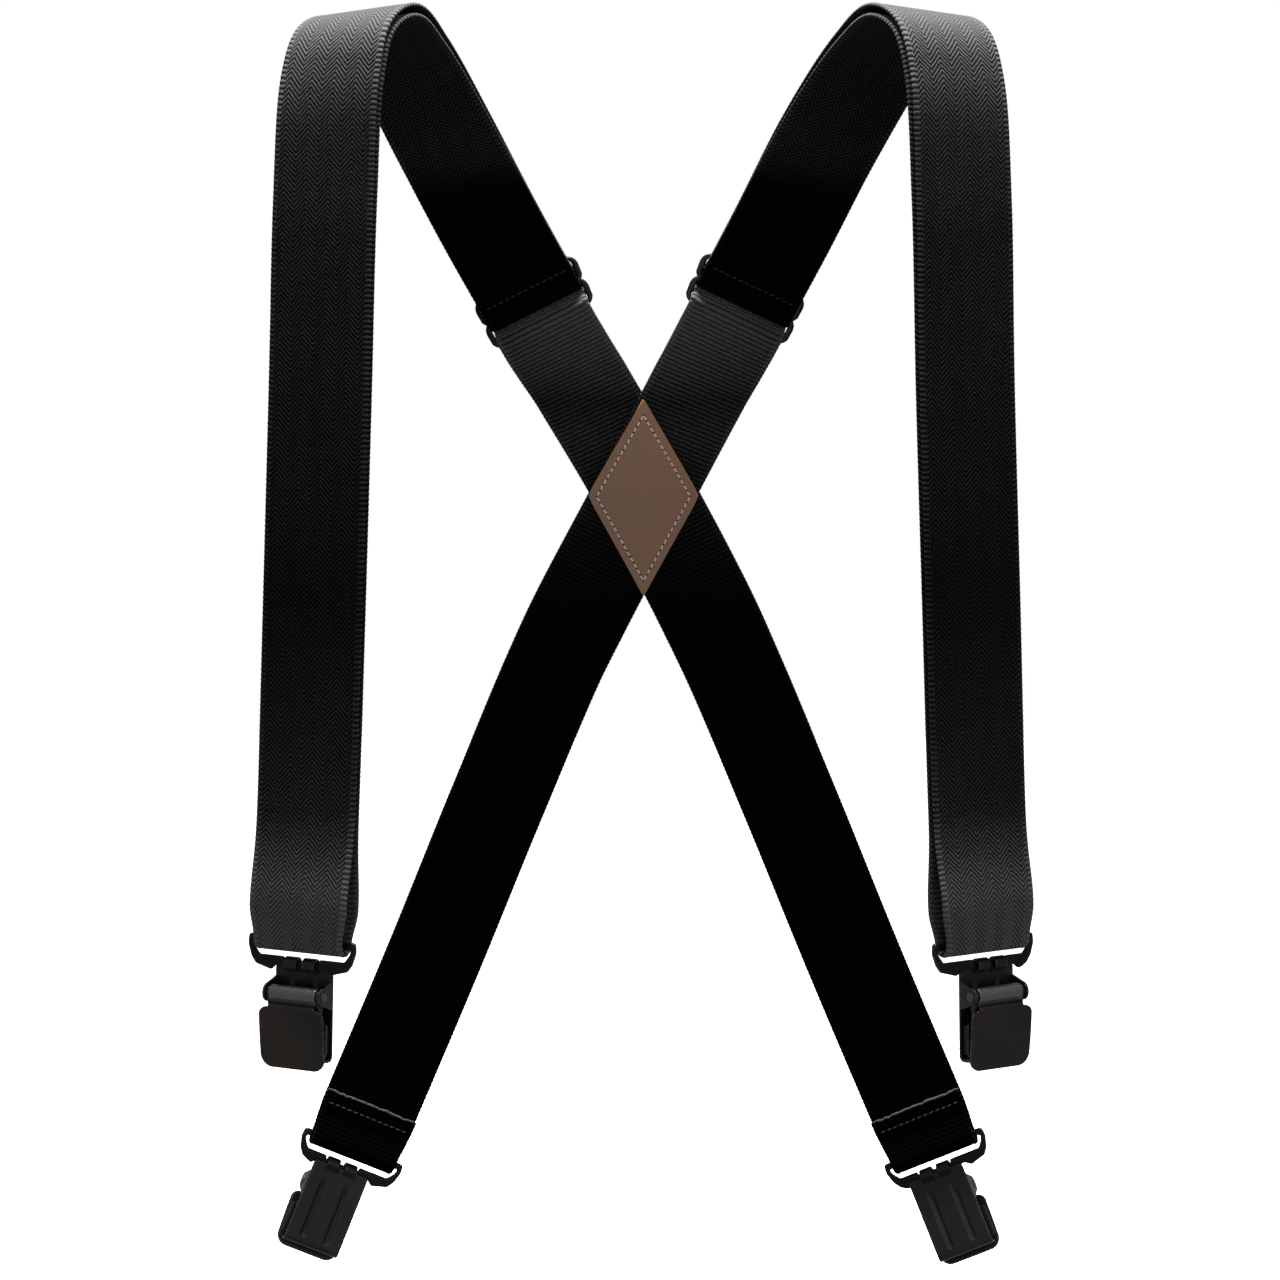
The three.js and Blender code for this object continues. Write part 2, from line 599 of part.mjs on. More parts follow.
function addWebbing(parent, sideName, line, crossingHeight) {
  const whole = line.whole;
  const crossing = line.stationAt(crossingStation);
  const slideAt = crossing + slideAboveCrossing;
  const shoulderBack = line.stationAt(shoulderBackStation) - 12;
  const shoulderFront = line.stationAt(shoulderFrontStation);
  const stepAt = (s) => (s > shoulderBack && s < shoulderFront ? 4 : 11);
  const lift = (path) => path.map((point) => {
    const away = Math.abs(point.x - crossing);
    const share = 1 - smoothBetween(crossingReach, crossingBlend, away);
    return new THREE.Vector2(point.x, point.y + crossingHeight * share);
  });
  const halfWidthAt = (s) => {
    const toEnd = Math.min(s, whole - s);
    return webbingWidth / 2 - (foldSqueeze / 2) * (1 - smoothBetween(0, 12, toEnd));
  };
  const add = (part, guides) => {
    const geometry = band(lift(guidedPath(guides, stepAt)), line, halfWidthAt, webbingThickness);
    parent.add(namedMesh(`webbing_${sideName}_${part}`, geometry, webbingColor));
  };

  // Bars of the adjuster, tilted so that each layer passes on its own side
  const barHeight = slideFoldRadius;
  const upperHeight = layerPitchAdjuster + slideFoldRadius;
  const tilt = Math.asin((upperHeight - barHeight) / slidePitch);
  const barStep = slidePitch * Math.cos(tilt);
  const lowerHeight = barHeight - slidePitch * Math.sin(tilt);
  const lowerBar = { s: slideAt - barStep, h: lowerHeight, r: slideFoldRadius };
  const overWrap = slideFoldRadius + stackPitch;
  const middleBar = { s: slideAt, h: barHeight, r: -overWrap };
  const upperBar = { s: slideAt + barStep, h: upperHeight, r: slideFoldRadius };

  const ringAxisBack = ringAxisHeight(false);
  const backRunTop = crossing + crossingReach;
  const lowerRunHeight = lowerBar.h - slideFoldRadius;
  add('back', [
    { s: backHemLength, h: -backHemPitch, r: 0 },
    { s: 14, h: -backHemPitch, r: 0 },
    { s: 0, h: ringAxisBack, r: foldRadius },
    { s: 14, h: 0, r: 0 },
    { s: backRunTop, h: 0, r: 0 },
  ]);
  add('lower_run', [
    { s: backRunTop + clearance, h: 0, r: 0 },
    { s: slideAt - slideReach - clearance, h: lowerRunHeight, r: 0 },
  ]);
  add('slide_bend', [
    { s: slideAt - slideReach, h: lowerRunHeight, r: 0 },
    lowerBar,
    middleBar,
    upperBar,
    { s: slideAt + slideReach, h: layerPitchAdjuster, r: 0 },
  ]);
  add('end_loop', [
    { s: slideAt + slideReach, h: 0, r: 0 },
    { s: slideAt, h: barHeight, r: -slideFoldRadius },
    { s: slideAt + endLoopDip * barStep, h: stackPitch, r: 0 },
    { s: slideAt + endLoopLength, h: stackPitch, r: 0 },
  ]);
  add('upper_run_outer', [
    { s: slideAt + slideReach + clearance, h: layerPitchAdjuster, r: 0 },
    { s: shoulderBack - clearance, h: layerPitchShoulder, r: 0 },
  ]);
  add('upper_run_inner', [
    { s: slideAt + slideReach + clearance, h: 0, r: 0 },
    { s: shoulderBack - clearance, h: 0, r: 0 },
  ]);
  // each layer bows out over the front ring, in a bell-shaped swell
  const loopSteps = 8;
  const swells = [];
  for (let k = 0; k < loopSteps; k += 1) {
    const above = frontLoopLength - ((frontLoopLength - 7) * k) / (loopSteps - 1);
    const swell = frontLoopBulge * Math.exp(-(((above - frontLoopMiddle) / frontLoopSpread) ** 2));
    swells.push({ s: whole - above, swell });
  }
  const outerLoop = swells.map(({ s, swell }) => ({ s, h: layerPitchFront + swell, r: 0 }));
  const innerLoop = swells.map(({ s, swell }) => ({ s, h: -swell, r: 0 })).reverse();
  add('front', [
    { s: shoulderBack, h: layerPitchShoulder, r: 0 },
    { s: shoulderFront - 30, h: layerPitchShoulder, r: 0 },
    { s: shoulderFront + 40, h: layerPitchFront, r: 0 },
    ...outerLoop,
    { s: whole, h: ringAxisHeight(true), r: -foldRadius },
    ...innerLoop,
    { s: shoulderBack, h: 0, r: 0 },
  ]);

  const slideGroup = seatedGroup(line, slideAt, barHeight, 1);
  slideGroup.rotateX(tilt);
  slideGroup.add(namedMesh(`adjuster_${sideName}`, slideGeometry(), blackSteelColor));
  parent.add(slideGroup);
}

const suspenders = new THREE.Group();
const crossingStep = (webbingThickness + crossingGap) / 2;
const rightLine = middleLine(1);
const leftLine = middleLine(-1);
addWebbing(suspenders, 'right', rightLine, crossingStep);
addWebbing(suspenders, 'left', leftLine, -crossingStep);
const patchHeight = crossingStep + halfThickness + clearance + patchThickness / 2;
suspenders.add(namedMesh('patch_inner', patchGeometry(rightLine, -patchHeight - 0.3), leatherColor));
suspenders.add(namedMesh('patch_outer', patchGeometry(rightLine, patchHeight + 0.3), leatherColor));
addClip(suspenders, 'front_right', rightLine, true, 0);
addClip(suspenders, 'front_left', leftLine, true, 2.6);
addClip(suspenders, 'back_left', rightLine, false, 2.6);
addClip(suspenders, 'back_right', leftLine, false, 1.8);

export default suspenders;
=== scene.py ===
# X-back clip suspenders: webbing, leather patches, adjusters and snap clips around the CAD frame.
import bpy
import math
import numpy as np
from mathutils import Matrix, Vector


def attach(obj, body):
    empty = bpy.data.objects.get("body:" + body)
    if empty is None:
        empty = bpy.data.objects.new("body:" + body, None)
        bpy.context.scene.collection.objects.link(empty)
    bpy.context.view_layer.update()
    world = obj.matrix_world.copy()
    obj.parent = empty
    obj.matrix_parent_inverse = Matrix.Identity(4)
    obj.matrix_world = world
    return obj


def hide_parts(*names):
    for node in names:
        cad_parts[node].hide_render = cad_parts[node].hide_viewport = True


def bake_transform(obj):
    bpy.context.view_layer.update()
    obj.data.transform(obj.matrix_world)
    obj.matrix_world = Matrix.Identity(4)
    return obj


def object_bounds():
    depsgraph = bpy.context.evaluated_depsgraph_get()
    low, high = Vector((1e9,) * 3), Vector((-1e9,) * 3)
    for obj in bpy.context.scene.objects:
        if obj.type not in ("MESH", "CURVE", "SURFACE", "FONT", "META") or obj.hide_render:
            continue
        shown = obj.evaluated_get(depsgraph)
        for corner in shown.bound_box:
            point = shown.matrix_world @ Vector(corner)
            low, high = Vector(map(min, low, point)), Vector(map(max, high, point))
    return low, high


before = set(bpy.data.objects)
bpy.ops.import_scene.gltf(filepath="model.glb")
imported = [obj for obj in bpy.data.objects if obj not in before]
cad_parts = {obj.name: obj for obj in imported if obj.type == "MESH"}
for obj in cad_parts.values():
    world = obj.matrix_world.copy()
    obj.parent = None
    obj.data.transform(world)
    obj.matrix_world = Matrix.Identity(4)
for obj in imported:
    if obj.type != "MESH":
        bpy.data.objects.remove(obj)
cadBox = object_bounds()
scene = bpy.context.scene


def addObject(name, data):
    added = bpy.data.objects.new(name, data)
    scene.collection.objects.link(added)
    return added


camera = {"distance": 1.6, "height": -0.2205, "lens": 123.75, "shift": -0.00273}
cameraData = bpy.data.cameras.new("camera")
cameraObject = addObject("camera", cameraData)
cameraObject.location = (0, -camera["distance"], camera["height"])
cameraObject.rotation_euler = (math.pi / 2, 0, 0)
cameraData.sensor_width = 36
cameraData.lens = camera["lens"]
cameraData.shift_x = camera["shift"]
cameraData.clip_start = 0.05
cameraData.clip_end = 50
scene.camera = cameraObject
scene.view_settings.view_transform = "Standard"
print("camera is set")


def newMaterial(name, color, roughness, metallic=0.0):
    material = bpy.data.materials.new(name)
    material.use_nodes = True
    tree = material.node_tree
    shader = tree.nodes["Principled BSDF"]
    shader.inputs["Base Color"].default_value = (*color, 1)
    shader.inputs["Roughness"].default_value = roughness
    shader.inputs["Metallic"].default_value = metallic
    return material, tree, shader


def setInput(tree, socket, value):
    if isinstance(value, bpy.types.NodeSocket):
        tree.links.new(value, socket)
    else:
        socket.default_value = value


def maths(tree, operation, first, second=0.0, third=0.0):
    node = tree.nodes.new("ShaderNodeMath")
    node.operation = operation
    for socket, value in zip(node.inputs, (first, second, third)):
        setInput(tree, socket, value)
    return node.outputs[0]


def attribute(tree, name):
    node = tree.nodes.new("ShaderNodeAttribute")
    node.attribute_name = name
    return node.outputs["Fac"]


def objectPlace(tree):
    return tree.nodes.new("ShaderNodeTexCoord").outputs["Object"]


def noise(tree, vector, scale, detail=2.0, roughness=0.5):
    node = tree.nodes.new("ShaderNodeTexNoise")
    setInput(tree, node.inputs["Vector"], vector)
    node.inputs["Scale"].default_value = scale
    node.inputs["Detail"].default_value = detail
    node.inputs["Roughness"].default_value = roughness
    return node.outputs["Fac"]


def remap(tree, value, low, high, toLow=0.0, toHigh=1.0, smooth=False):
    node = tree.nodes.new("ShaderNodeMapRange")
    node.interpolation_type = "SMOOTHSTEP" if smooth else "LINEAR"
    setInput(tree, node.inputs["Value"], value)
    node.inputs["From Min"].default_value = low
    node.inputs["From Max"].default_value = high
    node.inputs["To Min"].default_value = toLow
    node.inputs["To Max"].default_value = toHigh
    return node.outputs["Result"]


def mixNumber(tree, factor, first, second):
    node = tree.nodes.new("ShaderNodeMix")
    for socket, value in zip(node.inputs[:4], (factor, None, first, second)):
        if value is not None:
            setInput(tree, socket, value)
    return node.outputs[0]


def mixColor(tree, factor, first, second, mode="MIX"):
    node = tree.nodes.new("ShaderNodeMix")
    node.data_type = "RGBA"
    node.blend_type = mode
    setInput(tree, node.inputs[0], factor)
    for socket, value in ((node.inputs[6], first), (node.inputs[7], second)):
        setInput(tree, socket, value if isinstance(value, bpy.types.NodeSocket) else (*value, 1))
    return node.outputs[2]


def addBump(tree, shader, height, distance, strength=1.0):
    node = tree.nodes.new("ShaderNodeBump")
    node.inputs["Strength"].default_value = strength
    node.inputs["Distance"].default_value = distance
    setInput(tree, node.inputs["Height"], height)
    tree.links.new(node.outputs["Normal"], shader.inputs["Normal"])


def ridge(tree, phase, sharpness=1.0):
    # half sine over each whole turn of the phase, raised to a power
    turn = maths(tree, "FRACT", phase)
    wave = maths(tree, "SINE", maths(tree, "MULTIPLY", turn, math.pi))
    return maths(tree, "POWER", wave, sharpness)


weave = {
    "width": 38.1, "columns": 9, "slope": 1.1, "twillPitch": 1.75, "ribPitch": 1.8,
    "border": 2.2, "dark": (0.0005, 0.0005, 0.0006), "light": (0.06, 0.06, 0.062),
    "ribLight": (0.046, 0.046, 0.048), "roughness": 0.78, "bump": 0.0004,
    "shine": 0.1, "sheen": 0.05,
}


def webbingMaterial():
    material, tree, shader = newMaterial("webbing", weave["light"], weave["roughness"])
    across = attribute(tree, "across")
    along = attribute(tree, "along")
    face = attribute(tree, "face")
    place = objectPlace(tree)
    column = weave["width"] / weave["columns"]
    # herringbone: the diagonals turn at each column
    turned = maths(tree, "PINGPONG", across, column)
    slanted = maths(tree, "ADD", along, maths(tree, "MULTIPLY", turned, weave["slope"]))
    wobble = maths(tree, "MULTIPLY", noise(tree, place, 260, 1), 0.5)
    slanted = maths(tree, "ADD", slanted, wobble)
    twill = ridge(tree, maths(tree, "DIVIDE", slanted, weave["twillPitch"]), 3.0)
    # the floats of yarn that make up each diagonal
    floats = ridge(tree, maths(tree, "DIVIDE", along, 0.42), 1.0)
    herringbone = maths(tree, "MULTIPLY", twill, remap(tree, floats, 0, 1, 0.72, 1))
    # cross ribs of the inner face, each a row of small cells
    ribLine = maths(tree, "ADD", along, maths(tree, "MULTIPLY", noise(tree, place, 420, 1), 0.55))
    ribs = ridge(tree, maths(tree, "DIVIDE", ribLine, weave["ribPitch"]), 2.2)
    cells = ridge(tree, maths(tree, "DIVIDE", across, 0.95), 0.7)
    crossRibs = maths(tree, "MULTIPLY", ribs, remap(tree, cells, 0, 1, 0.25, 1))
    # the border has bars across it on both faces
    bars = ridge(tree, maths(tree, "DIVIDE", along, weave["ribPitch"]), 1.2)
    fromEdge = maths(tree, "PINGPONG", across, weave["width"] / 2)
    inBorder = remap(tree, fromEdge, weave["border"] - 0.35, weave["border"] + 0.05, 1, 0)
    isFace = remap(tree, face, 0.45, 0.55)
    field = mixNumber(tree, isFace, crossRibs, herringbone)
    height = mixNumber(tree, inBorder, field, bars)
    fuzz = noise(tree, place, 2600, 3, 0.7)
    patchy = noise(tree, place, 34, 3, 0.6)
    # painted highlight and shade: the colour follows the weave's relief, raised yarn lighter and
    # the hollows between near black, varied by fine fuzz and broad patches
    tint = maths(tree, "MULTIPLY", height, remap(tree, fuzz, 0.34, 0.66, 0.05, 2.0))
    tint = maths(tree, "MULTIPLY", tint, remap(tree, patchy, 0.3, 0.7, 0.8, 1.15))
    lit = mixColor(tree, isFace, weave["ribLight"], weave["light"])
    # painted light and shade: the weave's colour is scaled by the painted shading level
    tint = maths(tree, "MULTIPLY", tint, attribute(tree, "paintedShading"))
    color = mixColor(tree, tint, weave["dark"], lit)
    tree.links.new(color, shader.inputs["Base Color"])
    # painted light and shade: some stretches are painted lighter and others darker, and their
    # gloss and sheen are scaled with them
    paintedShading = attribute(tree, "paintedShading")
    tree.links.new(maths(tree, "MULTIPLY", paintedShading, weave["shine"]),
                   shader.inputs["Specular IOR Level"])
    tree.links.new(maths(tree, "MULTIPLY", paintedShading, weave["sheen"]), shader.inputs["Sheen Weight"])
    shader.inputs["Sheen Roughness"].default_value = 0.35
    relief = maths(tree, "ADD", height, maths(tree, "MULTIPLY", fuzz, 0.35))
    addBump(tree, shader, relief, weave["bump"])
    return material


leather = {
    "base": (0.222, 0.127, 0.08), "olive": (0.2, 0.131, 0.084), "red": (0.245, 0.12, 0.076),
    "raw": (0.3, 0.15, 0.055), "roughness": 0.52, "grain": 0.00007,
}


def leatherMaterial():
    material, tree, shader = newMaterial("leather", leather["base"], leather["roughness"])
    place = objectPlace(tree)
    mottle = remap(tree, noise(tree, place, 60, 4, 0.6), 0.35, 0.65)
    blush = remap(tree, noise(tree, place, 24, 2), 0.4, 0.62)
    color = mixColor(tree, mottle, leather["base"], leather["olive"])
    color = mixColor(tree, maths(tree, "MULTIPLY", blush, 0.6), color, leather["red"])
    speck = remap(tree, noise(tree, place, 1500, 4, 0.7), 0.3, 0.75, 0.82, 1.14)
    color = mixColor(tree, 1.0, color, speckColor(tree, speck), "MULTIPLY")
    rawEdge = attribute(tree, "rawEdge")
    color = mixColor(tree, rawEdge, color, leather["raw"])
    tree.links.new(color, shader.inputs["Base Color"])
    grainNode = tree.nodes.new("ShaderNodeTexVoronoi")
    grainNode.feature = "SMOOTH_F1"
    grainNode.inputs["Scale"].default_value = 1300
    tree.links.new(place, grainNode.inputs["Vector"])
    grain = maths(tree, "ADD", grainNode.outputs["Distance"], noise(tree, place, 3200, 3))
    shine = remap(tree, noise(tree, place, 180, 3), 0.3, 0.7, leather["roughness"] - 0.06,
                  leather["roughness"] + 0.1)
    tree.links.new(shine, shader.inputs["Roughness"])
    shader.inputs["Specular IOR Level"].default_value = 0.4
    addBump(tree, shader, grain, leather["grain"], 0.7)
    return material


def speckColor(tree, value):
    node = tree.nodes.new("ShaderNodeCombineColor")
    for socket in node.inputs[:3]:
        tree.links.new(value, socket)
    return node.outputs[0]


def metalMaterial(name, color, roughness, wear, tint=None):
    material, tree, shader = newMaterial(name, color, roughness, 0.75)
    place = objectPlace(tree)
    cloud = noise(tree, place, 42, 4, 0.5)
    second = tint or tuple(part * 1.5 for part in color)
    base = mixColor(tree, remap(tree, cloud, 0.4, 0.62), color, second)
    # painted reflection: the lever's rolled barrel is given a lighter colour for the reflections
    # it catches
    base = mixColor(tree, attribute(tree, "polish"), base, (0.1, 0.1, 0.105))
    worn = attribute(tree, "wear")
    chips = remap(tree, noise(tree, place, 1100, 4, 0.7), 0.48, 0.62)
    worn = maths(tree, "MULTIPLY", maths(tree, "MULTIPLY", worn, chips), wear)
    base = mixColor(tree, worn, base, (0.2, 0.19, 0.18))
    tree.links.new(base, shader.inputs["Base Color"])
    streaks = noise(tree, place, 650, 3, 0.6)
    gloss = remap(tree, streaks, 0.25, 0.75, roughness - 0.05, roughness + 0.08)
    tree.links.new(gloss, shader.inputs["Roughness"])
    shader.inputs["Specular IOR Level"].default_value = 0.25
    shader.inputs["Coat Weight"].default_value = 0.12
    shader.inputs["Coat Roughness"].default_value = 0.25
    peel = maths(tree, "ADD", noise(tree, place, 1500, 2), maths(tree, "MULTIPLY", cloud, 0.6))
    addBump(tree, shader, peel, 0.00003, 0.5)
    return material


def plainMaterial(name, color, roughness, scale, bump):
    material, tree, shader = newMaterial(name, color, roughness)
    place = objectPlace(tree)
    speck = noise(tree, place, scale, 3, 0.65)
    darker = tuple(part * 0.55 for part in color)
    base = mixColor(tree, remap(tree, speck, 0.3, 0.7), darker, color)
    tree.links.new(base, shader.inputs["Base Color"])
    addBump(tree, shader, speck, bump)
    return material


materials = {
    "webbing": webbingMaterial(),
    "leather": leatherMaterial(),
    # rings and adjusters: black steel, painted darker than the clips' steel for the shade these
    # parts sit in
    "blackMetalPaintedShade": metalMaterial("blackMetalPaintedShade", (0.0035, 0.0035, 0.004), 0.36, 0.15),
    "clipMetal": metalMaterial("clipMetal", (0.013, 0.012, 0.0155), 0.38, 0.3,
                               (0.021, 0.017, 0.017)),
    "leverMetal": metalMaterial("leverMetal", (0.016, 0.0155, 0.0205), 0.3, 0.4,
                                (0.031, 0.022, 0.018)),
    "barrelMetal": metalMaterial("barrelMetal", (0.07, 0.07, 0.073), 0.36, 0.4),
    "grip": plainMaterial("grip", (0.018, 0.018, 0.019), 0.7, 900, 0.00005),
    "tanThread": plainMaterial("tanThread", (0.72, 0.58, 0.47), 0.75, 2600, 0.00006),
    "blackThread": plainMaterial("blackThread", (0.004, 0.004, 0.0043), 0.8, 2600, 0.00006),
    "rawEnd": plainMaterial("rawEnd", (0.03, 0.03, 0.031), 0.9, 1700, 0.0002),
    # painted shade: the dark colour of the needle holes
    "needleHole": plainMaterial("needleHole", (0.012, 0.008, 0.006), 0.9, 900, 0.00004),
}
print("materials are made")


def makePiece(name, points, quads, material, attributes=None, sharpAngle=40):
    # points in millimetres become a mesh in metres at the origin
    mesh = bpy.data.meshes.new(name)
    points = np.asarray(points, dtype=float).reshape(-1, 3) * 0.001
    faces = [np.asarray(group).reshape(-1, group.shape[-1]) for group in quads if len(group)]
    mesh.vertices.add(len(points))
    mesh.vertices.foreach_set("co", points.ravel())
    sizes = np.concatenate([np.full(len(group), group.shape[1]) for group in faces])
    corners = np.concatenate([group.ravel() for group in faces])
    mesh.loops.add(len(corners))
    mesh.loops.foreach_set("vertex_index", corners.astype(np.int32))
    mesh.polygons.add(len(sizes))
    starts = np.concatenate([[0], np.cumsum(sizes)[:-1]])
    mesh.polygons.foreach_set("loop_start", starts.astype(np.int32))
    mesh.polygons.foreach_set("loop_total", sizes.astype(np.int32))
    mesh.update(calc_edges=True)
    mesh.validate()
    mesh.polygons.foreach_set("use_smooth", np.ones(len(mesh.polygons), dtype=bool))
    mesh.set_sharp_from_angle(angle=math.radians(sharpAngle))
    for key, values in (attributes or {}).items():
        layer = mesh.attributes.new(key, "FLOAT", "POINT")
        layer.data.foreach_set("value", np.asarray(values, dtype=np.float32).ravel())
    mesh.materials.append(materials[material])
    return addObject(name, mesh)


def tubeFaces(rows, around, closed=False):
    # quads of a grid of rows that close round, joined end to end if closed
    row = np.arange(rows if closed else rows - 1)[:, None]
    step = np.arange(around)[None, :]
    after = (row + 1) % rows
    following = (step + 1) % around
    corners = (row * around + step, row * around + following, after * around + following,
               after * around + step)
    return np.stack(corners, axis=-1).reshape(-1, 4)


def capFaces(rows, around):
    first = np.arange(around)[::-1]
    last = (rows - 1) * around + np.arange(around)
    return first[None, :], last[None, :]


def closedTube(rows, around):
    return [tubeFaces(rows, around), *capFaces(rows, around)]


def mergeParts(parts):
    # several (points, faces, attributes) into one
    points, faces, values = [], [], {}
    offset = 0
    for partPoints, partFaces, partValues in parts:
        partPoints = partPoints.reshape(-1, 3)
        points.append(partPoints)
        faces.extend(group + offset for group in partFaces)
        for key, value in partValues.items():
            values.setdefault(key, []).append(np.ravel(value))
        offset += len(partPoints)
    return np.concatenate(points), faces, {k: np.concatenate(v) for k, v in values.items()}


def movedAcross(shape, x):
    points, faces, values = shape
    return points + [x, 0, 0], faces, values


def smoothStep(low, high, value):
    share = np.clip((value - low) / (high - low), 0, 1)
    return share * share * (3 - 2 * share)


def unit(vectors):
    return vectors / np.linalg.norm(vectors, axis=-1, keepdims=True)


def lengthsAlong(path):
    # distance walked to each point of a path
    return np.concatenate([[0], np.cumsum(np.linalg.norm(np.diff(path, axis=0), axis=1))])


def softened(points, distance, step, closed):
    # weighted mean of each point and its neighbours; open ends are continued by point reflection
    reach = max(1, int(round(distance / step)))
    weights = np.hanning(2 * reach + 3)[1:-1]
    weights /= weights.sum()
    if closed:
        longer = np.vstack([points[-reach:], points, points[:reach]])
    else:
        before = 2 * points[0] - points[reach:0:-1]
        after = 2 * points[-1] - points[-2:-reach - 2:-1]
        longer = np.vstack([before, points, after])
    return np.stack([np.convolve(longer[:, k], weights, "valid") for k in range(2)], axis=1)


def roundedCorner(roundness, thickness):
    # quarter circle at a plate's rim, inwards: distance from the rim, and height over the middle
    angle = np.linspace(np.pi / 2, 0, 5)
    return (roundness * (1 - np.sin(angle)),
            thickness / 2 - roundness * (1 - np.cos(angle)))


# middle line of one webbing: place (x, y, z) in millimetres, lean and yaw of the width direction
# in degrees, and sway to -X
stations = np.array([
    [113.3, 116, -418.8, 20.5, 15, 0], [82.3, 119, -345.5, 21, 14, 0],
    [56.7, 116, -282.9, 21, 13, 0], [29.9, 107, -220.5, 22.5, 12, 0],
    [0, 84, -163.9, 24.5, 11.2, 0], [-23.6, 60, -122.4, 25.5, 9, 1.3],
    [-51.9, 31, -72.2, 25, 8, 2.2], [-70.4, 6, -38, 21, 12, 2.4],
    [-86.5, -14, -11.2, 13, 20, 1.2], [-95.7, -35, -1, 5, 27, 0.2],
    [-104, -52.7, -7.6, 1.5, 25, 0.1], [-108, -60, -24, 0, 21, 0.1],
    [-110.5, -63, -66.8, 0, 19.5, 0.1], [-111.8, -68, -136.9, 0, 20.3, 0.3],
    [-113.5, -71, -206.6, 0, 21.2, 0.3], [-115.6, -69, -276.2, 0, 22.5, 0.4],
    [-117.8, -66, -325.4, 0, 25, 0.4],
])
webbing = {
    "width": 38.1, "thickness": 1.6, "pitchFront": 2.8, "pitchShoulder": 3.7, "gap": 0.3,
    "crossing": 4, "shoulderBack": 8, "shoulderFront": 12, "crossingReach": 52,
    "crossingBlend": 80, "crossingStep": 1.15, "foldRadius": 3.3, "squeeze": 3,
    "bulge": 3.1, "bulgeMiddle": 13, "bulgeSpread": 17, "loopLength": 62,
    "hemLength": 18, "hemPitch": 2.1, "rowStep": 0.45, "bead": 0.16, "leftFrontTurn": 6,
    "soften": 1.4, "squeezeReach": 12, "rimReach": 0.6, "borderAt": 0.9, "borderReach": 0.7,
    "borderRise": 0.16,
}
slide = {"pitch": 9, "bar": 2.4, "thickness": 2, "lobe": 2.4, "above": 89, "reach": 13.5,
         "endLoop": 11.5, "corner": 4.4, "slotCorner": 1}
stackPitch = webbing["thickness"] + webbing["gap"]
slideFold = math.hypot(slide["bar"], slide["thickness"]) / 2 + webbing["gap"] \
    + webbing["thickness"] / 2


def splineThrough(points):
    # centripetal Catmull-Rom spline: gives place and slope at (segment, share of it)
    padded = np.vstack([2 * points[0] - points[1], points, 2 * points[-1] - points[-2]])

    def at(segment, share):
        p0, p1, p2, p3 = (padded[segment + k] for k in range(4))
        d0, d1, d2 = (np.sum((b - a) ** 2, axis=1, keepdims=True) ** 0.25
                      for a, b in ((p0, p1), (p1, p2), (p2, p3)))
        t1 = ((p1 - p0) / d0 - (p2 - p0) / (d0 + d1) + (p2 - p1) / d1) * d1
        t2 = ((p2 - p1) / d1 - (p3 - p1) / (d1 + d2) + (p3 - p2) / d2) * d1
        c2 = -3 * p1 + 3 * p2 - 2 * t1 - t2
        c3 = 2 * p1 - 2 * p2 + t1 + t2
        f = share[:, None]
        place = p1 + t1 * f + c2 * f ** 2 + c3 * f ** 3
        slope = t1 + 2 * c2 * f + 3 * c3 * f ** 2
        return place, slope

    return at


class MiddleLine:
    def __init__(self, mirror):
        places = stations[:, :3] * [mirror, 1, 1]
        places[:, 0] -= stations[:, 5]
        inFront = np.clip((np.arange(len(stations)) - webbing["shoulderFront"] + 3) / 2, 0, 1)
        turn = webbing["leftFrontTurn"] * inFront if mirror < 0 else 0
        lean, yaw = np.radians(stations[:, 3]), np.radians(stations[:, 4] + turn)
        sides = np.stack([np.cos(lean) * np.cos(yaw), -mirror * np.sin(yaw),
                          mirror * np.sin(lean) * np.cos(yaw)], axis=1)
        self.places = splineThrough(places)
        self.sides = splineThrough(sides)
        self.last = len(stations) - 1
        divisions = 60
        self.grid = np.linspace(0, self.last, divisions * self.last + 1)
        segment = np.minimum(self.grid.astype(int), self.last - 1)
        points = self.places(segment, self.grid - segment)[0]
        steps = np.linalg.norm(np.diff(points, axis=0), axis=1)
        self.lengths = np.concatenate([[0], np.cumsum(steps)])
        self.whole = self.lengths[-1]
        self.divisions = divisions
        self.crossing = self.stationAt(webbing["crossing"])

    def stationAt(self, index):
        return self.lengths[index * self.divisions]

    # centre, forward, side and outward normal at each distance s
    def at(self, s):
        s = np.atleast_1d(np.asarray(s, dtype=float))
        inside = np.clip(s, 0, self.whole)
        t = np.interp(inside, self.lengths, self.grid)
        segment = np.minimum(t.astype(int), self.last - 1)
        centre, slope = self.places(segment, t - segment)
        forward = unit(slope)
        centre = centre + forward * (s - inside)[:, None]
        level = np.stack([np.zeros(len(s)), forward[:, 2], -forward[:, 1]], axis=1)
        level = np.cross(unit(level), forward)
        away = np.abs(s - self.crossing)
        share = smoothStep(webbing["crossingReach"], webbing["crossingBlend"], away)[:, None]
        side = level * (1 - share) + self.sides(segment, t - segment)[0] * share
        side = unit(side - forward * np.sum(side * forward, axis=1, keepdims=True))
        return centre, forward, side, np.cross(forward, side)


